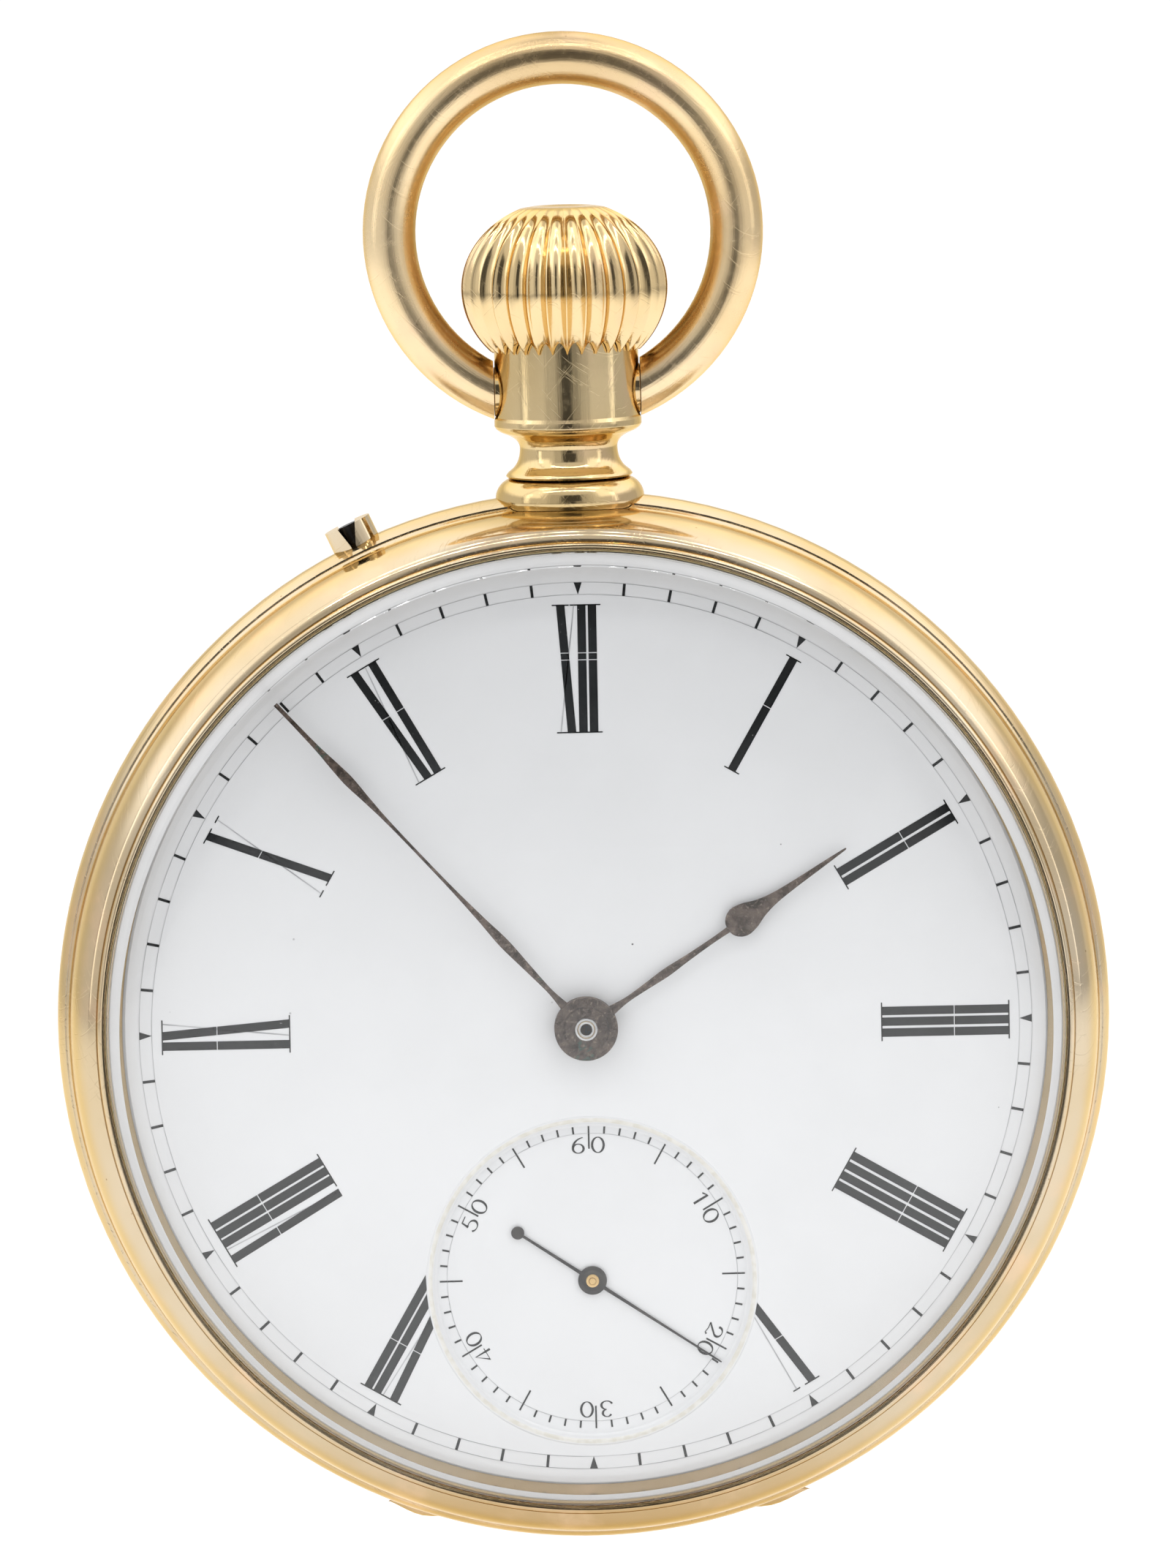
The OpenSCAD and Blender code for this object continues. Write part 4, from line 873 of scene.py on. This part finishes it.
def seconds_printing():
    """Seconds track, and a figure either side of the long mark at every tenth second."""
    centre, outer, inner = SECONDS_CENTRE, 7.22, 6.87
    ink, fine = Printing(SECONDS_DIAL_D), Printing(SECONDS_DIAL_D)
    for second in range(60):
        turn = 6 * second
        reach = inner if second % 5 else outer - 1.08
        half = 0.045 if second % 5 else 0.04
        ink.polygon(bar(turn, reach, outer, half, 0.0, centre))
    fine.ring(centre, inner, 0.022, 240)
    for ten in range(1, 7):
        figure(ink, str(ten), 60 * ten, -0.81, 0.78, 5.92)
        figure(ink, "0", 60 * ten, 0.12, 0.78, 5.92)
    ink.piece("seconds_marks", INK_BLACK)
    fine.piece("seconds_circle", HAIRLINE)


def seconds_rim():
    """Rounded edge where the seconds dial is let into the dial."""
    profile = [(7.88, DIAL_D - 0.05), (7.86, DIAL_D + 0.005), (7.78, DIAL_D + 0.022), (7.68, DIAL_D + 0.02),
               (7.58, DIAL_D - 0.04), (7.5, DIAL_D - 0.16), (7.42, DIAL_D - 0.3),
               (7.34, SECONDS_DIAL_D + 0.004), (7.34, SECONDS_DIAL_D - 0.05), (7.65, SECONDS_DIAL_D - 0.05)]
    add_piece("seconds_dial_rim", *turn_about(profile, on_dial_axis(0, SECONDS_Z), 180), ENAMEL_RIM, "case",
              "dial_enamel", sharp=60)


# ---- hands ----


def hand_blade(widths, depth, thick, turn, centre=(0.0, 0.0)):
    """Points and faces of a hand with a crowned top, from (distance, half width) points along it."""
    across = [(-1, 0), (-1, 0.45), (-0.62, 0.84), (-0.2, 1), (0.2, 1), (0.62, 0.84), (1, 0.45), (1, 0)]
    points, faces = [], []
    for v, half in widths:
        half = max(half, 0.012)
        for u, rise in across:
            x, z = polar(turn, v, u * half, centre)
            points.append(spot(x, z, depth + thick * rise))
    n = len(across)
    for i in range(len(widths) - 1):
        for k in range(n):
            a, b = i * n + k, i * n + (k + 1) % n
            faces.append((a, b, b + n, a + n))
    faces.append(tuple(range(n)))
    faces.append(tuple(range(len(points) - n, len(points))))
    return points, faces


def hour_hand():
    """Hour hand with a pear-shaped swelling, and its round boss."""
    low, centre_r = 10.02, 1.1
    stem = smooth_curve([(1.3, 0.26), (2.3, 0.13), (3.4, 0.15), (4.6, 0.205), (5.8, 0.15), (7.2, 0.12),
                         (8.16, 0.14)], 5)
    pear = [(8.17, 0.2), (8.2, 0.3), (8.26, 0.41), (8.36, 0.53), (8.52, 0.65), (8.72, 0.73), (8.95, 0.75)]
    point = smooth_curve([(8.95, 0.75), (9.4, 0.66), (10.0, 0.43), (10.8, 0.26), (12.0, 0.17), (13.5, 0.11),
                          (14.75, 0.05), (14.9, 0.02)], 4)
    turn = 56.8
    boss = turn_about(rounded([(centre_r, low), (1.5, low), (1.5, low + 0.15, 0.06), (centre_r, low + 0.15)]),
                      on_dial_axis(), 72)
    blade = hand_blade(stem + pear + point[1:], low, 0.15, turn)
    shape = joined(blade, boss)
    add_piece("hour_hand_shaped", *shape, COPPER_HANDS, "hour_hand", "aged_copper", ["hour_hand"])


def minute_hand():
    """Minute hand with two long swellings, a square dark tip, and a boss with a turned recess."""
    low, hole = 10.45, 0.53
    turn = 318.0
    widths = smooth_curve([(1.3, 0.24), (2.4, 0.12), (3.8, 0.16), (5.6, 0.235), (7.2, 0.15), (9.2, 0.085),
                           (11.5, 0.07), (13.6, 0.09), (15.0, 0.16), (16.2, 0.24), (17.2, 0.2), (18.4, 0.125),
                           (20.0, 0.1), (21.2, 0.1)], 6)
    boss = rounded([(hole, low), (1.5, low, 0.03), (1.5, low + 0.17, 0.05), (1.17, low + 0.235, 0.02),
                    (1.1, low + 0.235, 0.02), (1.0, low + 0.13, 0.04), (hole, low + 0.13)])
    shape = joined(hand_blade(widths, low, 0.14, turn), turn_about(boss, on_dial_axis(), 96))
    add_piece("minute_hand_shaped", *shape, COPPER_HANDS, "minute_hand", "aged_copper", ["minute_hand"])


def arbor_tips():
    """Polished ends of the cannon pinion's arbor and of the cannon pinion itself."""
    tip = [(0, 10.8), (0.28, 10.8), (0.3, 10.815), (0.36, 10.82), (0.395, 10.79), (0.395, 10.56), (0, 10.56)]
    add_piece("centre_arbor_tip", *turn_about(tip, on_dial_axis(), 48), SATIN_STEEL, "centre_wheel",
              "polished_steel")
    collar = [(0.43, 10.56), (0.43, 10.815), (0.46, 10.83), (0.51, 10.81), (0.528, 10.77), (0.528, 10.56)]
    add_piece("cannon_tip", *turn_about(collar, on_dial_axis(), 64), SATIN_STEEL, "minute_hand",
              "polished_steel")


def seconds_hand():
    """Slender black seconds hand with a round counterpoise, its boss and its brass pipe."""
    low, turn, centre = 9.42, 124.2, (0, SECONDS_Z)
    blade = smooth_curve([(-4.0, 0.062), (-2, 0.07), (0, 0.085), (2, 0.07), (5, 0.052), (7.0, 0.04),
                          (7.26, 0.02)], 5)
    weight_x, weight_z = polar(turn, -4.2, 0, centre)
    weight = turn_about(rounded([(0, low), (0.31, low, 0.02), (0.31, low + 0.1, 0.05), (0, low + 0.1)]),
                        on_dial_axis(weight_x, weight_z), 40)
    boss = turn_about(rounded([(0.16, low), (0.68, low, 0.02), (0.68, low + 0.1, 0.04),
                               (0.5, low + 0.135, 0.03), (0.32, low + 0.12)]), on_dial_axis(*centre), 64)
    shape = joined(hand_blade(blade, low, 0.1, turn, centre), weight, boss)
    add_piece("seconds_hand_shaped", *shape, DARK_STEEL, "seconds_hand", "dark_steel", ["seconds_hand"])
    pipe = rounded([(0.16, low + 0.1), (0.31, low + 0.1), (0.31, low + 0.3, 0.05), (0.16, low + 0.3, 0.03)])
    add_piece("seconds_pipe", *turn_about(pipe, on_dial_axis(*centre), 48), GILDING, "seconds_hand",
              "gilt_brass")


# ---- stage, light and camera ----


def make_camera():
    """Long lens in front of the dial, a little above it, turned as the watch lies in the picture."""
    distance, azimuth, elevation, roll = 612, math.radians(-0.99), math.radians(5.9), math.radians(-1.524)
    aim = spot(0.351, 11.01, STEM_D)
    back = Vector((math.sin(azimuth) * math.cos(elevation), -math.cos(azimuth) * math.cos(elevation),
                   math.sin(elevation)))
    camera = bpy.data.objects.new("camera", bpy.data.cameras.new("camera"))
    bpy.context.scene.collection.objects.link(camera)
    camera.data.lens = 295.85
    camera.data.clip_start, camera.data.clip_end = 0.01, 50
    camera.rotation_mode = "QUATERNION"
    camera.location = aim + back * distance * MM
    rolled = Matrix.Rotation(roll, 4, "Z").to_quaternion()
    camera.rotation_quaternion = (-back).to_track_quat("-Z", "Y") @ rolled
    bpy.context.scene.camera = camera


def make_floor():
    """Plain pale floor below the hanging watch, fading into the white of the tent."""
    radius, drop, steps = 0.62, -0.037, 96
    rim = [Vector((radius * math.cos(a), radius * math.sin(a), drop))
           for a in (2 * math.pi * k / steps for k in range(steps))]
    floor = add_object("floor", rim, [tuple(range(steps))], None)
    look = Look("pale_floor", Roughness=0.85, Emission_Color=(1, 1, 1, 1), Emission_Strength=0.16)
    cloud = look.ramp(look.noise(0.004, 2), 0.3, 0.7)
    look.feed(look.mix(cloud, (0.82, 0.82, 0.82), (0.85, 0.85, 0.85)), "Base Color")
    length = look.node("ShaderNodeVectorMath")
    length.operation = "LENGTH"
    look.link(look.space.outputs[0], length.inputs[0])
    look.feed(look.ramp(length.outputs["Value"], 230, 600, 1, 0), "Alpha")
    floor.data.materials.append(look.material)


def softbox(name, place, size, power):
    """Rectangular lamp at a place in metres, aimed at the watch."""
    lamp = bpy.data.objects.new(name, bpy.data.lights.new(name, "AREA"))
    lamp.data.shape = "RECTANGLE"
    lamp.data.size, lamp.data.size_y = size
    lamp.data.energy = power
    lamp.location = place
    lamp.rotation_mode = "QUATERNION"
    lamp.rotation_quaternion = (-Vector(place)).to_track_quat("-Z", "Y")
    bpy.context.scene.collection.objects.link(lamp)


class Tent:
    """White light tent round the watch, its brightness set by direction: azimuth and elevation in degrees."""

    def __init__(self, brightness):
        self.world = bpy.data.worlds.new("light_tent")
        self.world.use_nodes = True
        self.tree = self.world.node_tree
        split = self.tree.nodes.new("ShaderNodeSeparateXYZ")
        self.tree.links.new(self.tree.nodes.new("ShaderNodeTexCoord").outputs["Generated"], split.inputs[0])
        x, y, z = split.outputs
        self.azimuth = self.maths("MULTIPLY", self.maths("ARCTAN2", x, self.maths("MULTIPLY", y, -1)), 57.3)
        self.elevation = self.maths("MULTIPLY", self.maths("ARCSINE", z, 0), 57.3)
        self.level = self.maths("ADD", self.maths("MULTIPLY", z, 0), brightness)

    def maths(self, operation, a, b):
        node = self.tree.nodes.new("ShaderNodeMath")
        node.operation = operation
        for value, socket in ((a, node.inputs[0]), (b, node.inputs[1])):
            if isinstance(value, (int, float)):
                socket.default_value = value
            else:
                self.tree.links.new(value, socket)
        return node.outputs[0]

    def step(self, value, edge, soft, start=0.0, end=1.0):
        """start below an edge and end above it, changing over `soft` degrees either side."""
        ranged = self.tree.nodes.new("ShaderNodeMapRange")
        ranged.interpolation_type = "SMOOTHSTEP"
        for i, number in enumerate((edge - soft, edge + soft, start, end)):
            ranged.inputs[i + 1].default_value = number
        self.tree.links.new(value, ranged.inputs[0])
        return ranged.outputs[0]

    def panel(self, azimuths, elevations, factor, soft=2.0):
        """Multiplies the brightness of one patch of the tent."""
        inside = None
        for value, (low, high) in ((self.azimuth, azimuths), (self.elevation, elevations)):
            for part in (self.step(value, low, soft), self.step(value, high, soft, 1, 0)):
                inside = self.maths("MULTIPLY", inside, part) if inside else part
        change = self.maths("ADD", self.maths("MULTIPLY", inside, factor - 1), 1.0)
        self.level = self.maths("MULTIPLY", self.level, change)

    def light(self):
        background = self.tree.nodes["Background"]
        background.inputs["Color"].default_value = (1.0, 1.0, 1.0, 1)
        self.tree.links.new(self.level, background.inputs["Strength"])
        bpy.context.scene.world = self.world


def make_light():
    """Light tent with an open front, seams and bright panels, rows of small lamps and two side softboxes."""
    tent = Tent(0.88)
    tent.panel((-200, -150), (-60, 12), 1.2, 3)     # bright back wall, either side of straight behind
    tent.panel((150, 200), (-60, 12), 1.2, 3)
    tent.panel((-36, 34), (-13, 39), 0.75)          # open front
    tent.panel((-15, 18), (5, 37), 0.13)            # camera and whoever stands behind it
    tent.panel((-18, 20), (-11, 5), 0.6)
    tent.panel((-11, 7), (-11, 5), 0.15)
    tent.panel((78, 130), (-30, 24), 0.75, 4)       # dimmer right side
    tent.panel((-176, -48), (20, 75), 1.95, 7)      # bright upper left and right
    tent.panel((48, 176), (20, 75), 2.0, 7)
    tent.panel((-81.5, -79), (-8, 60), 0.4, 0.6)    # seams
    tent.panel((79, 81.5), (-8, 60), 0.4, 0.6)
    tent.panel((-81, 81), (-6.5, -4), 0.55, 0.7)
    tent.light()
    lamp_size, lamps, spacing = (0.03, 0.03), 11, 0.075
    for i in range(lamps):
        x = (i - lamps // 2) * spacing
        softbox(f"lamp_{i}", (x, -0.32, 0.62), lamp_size, 0.055)
        softbox(f"high_lamp_{i}", (x, -0.1, 0.7), lamp_size, 0.03)
    softbox("left_softbox", (-0.8, -0.25, 0.25), (0.12, 0.6), 0.25)
    softbox("right_softbox", (0.8, -0.2, 0.25), (0.12, 0.6), 0.22)


make_camera()
make_floor()
make_light()
bpy.context.scene.view_settings.view_transform = "Standard"
dress_cad_nodes()
bezel()
pendant_foot()
pendant()
bezel_dirt()
crystal()
crown()
numerals()
minute_track()
seconds_printing()
seconds_rim()
hour_hand()
minute_hand()
arbor_tips()
seconds_hand()
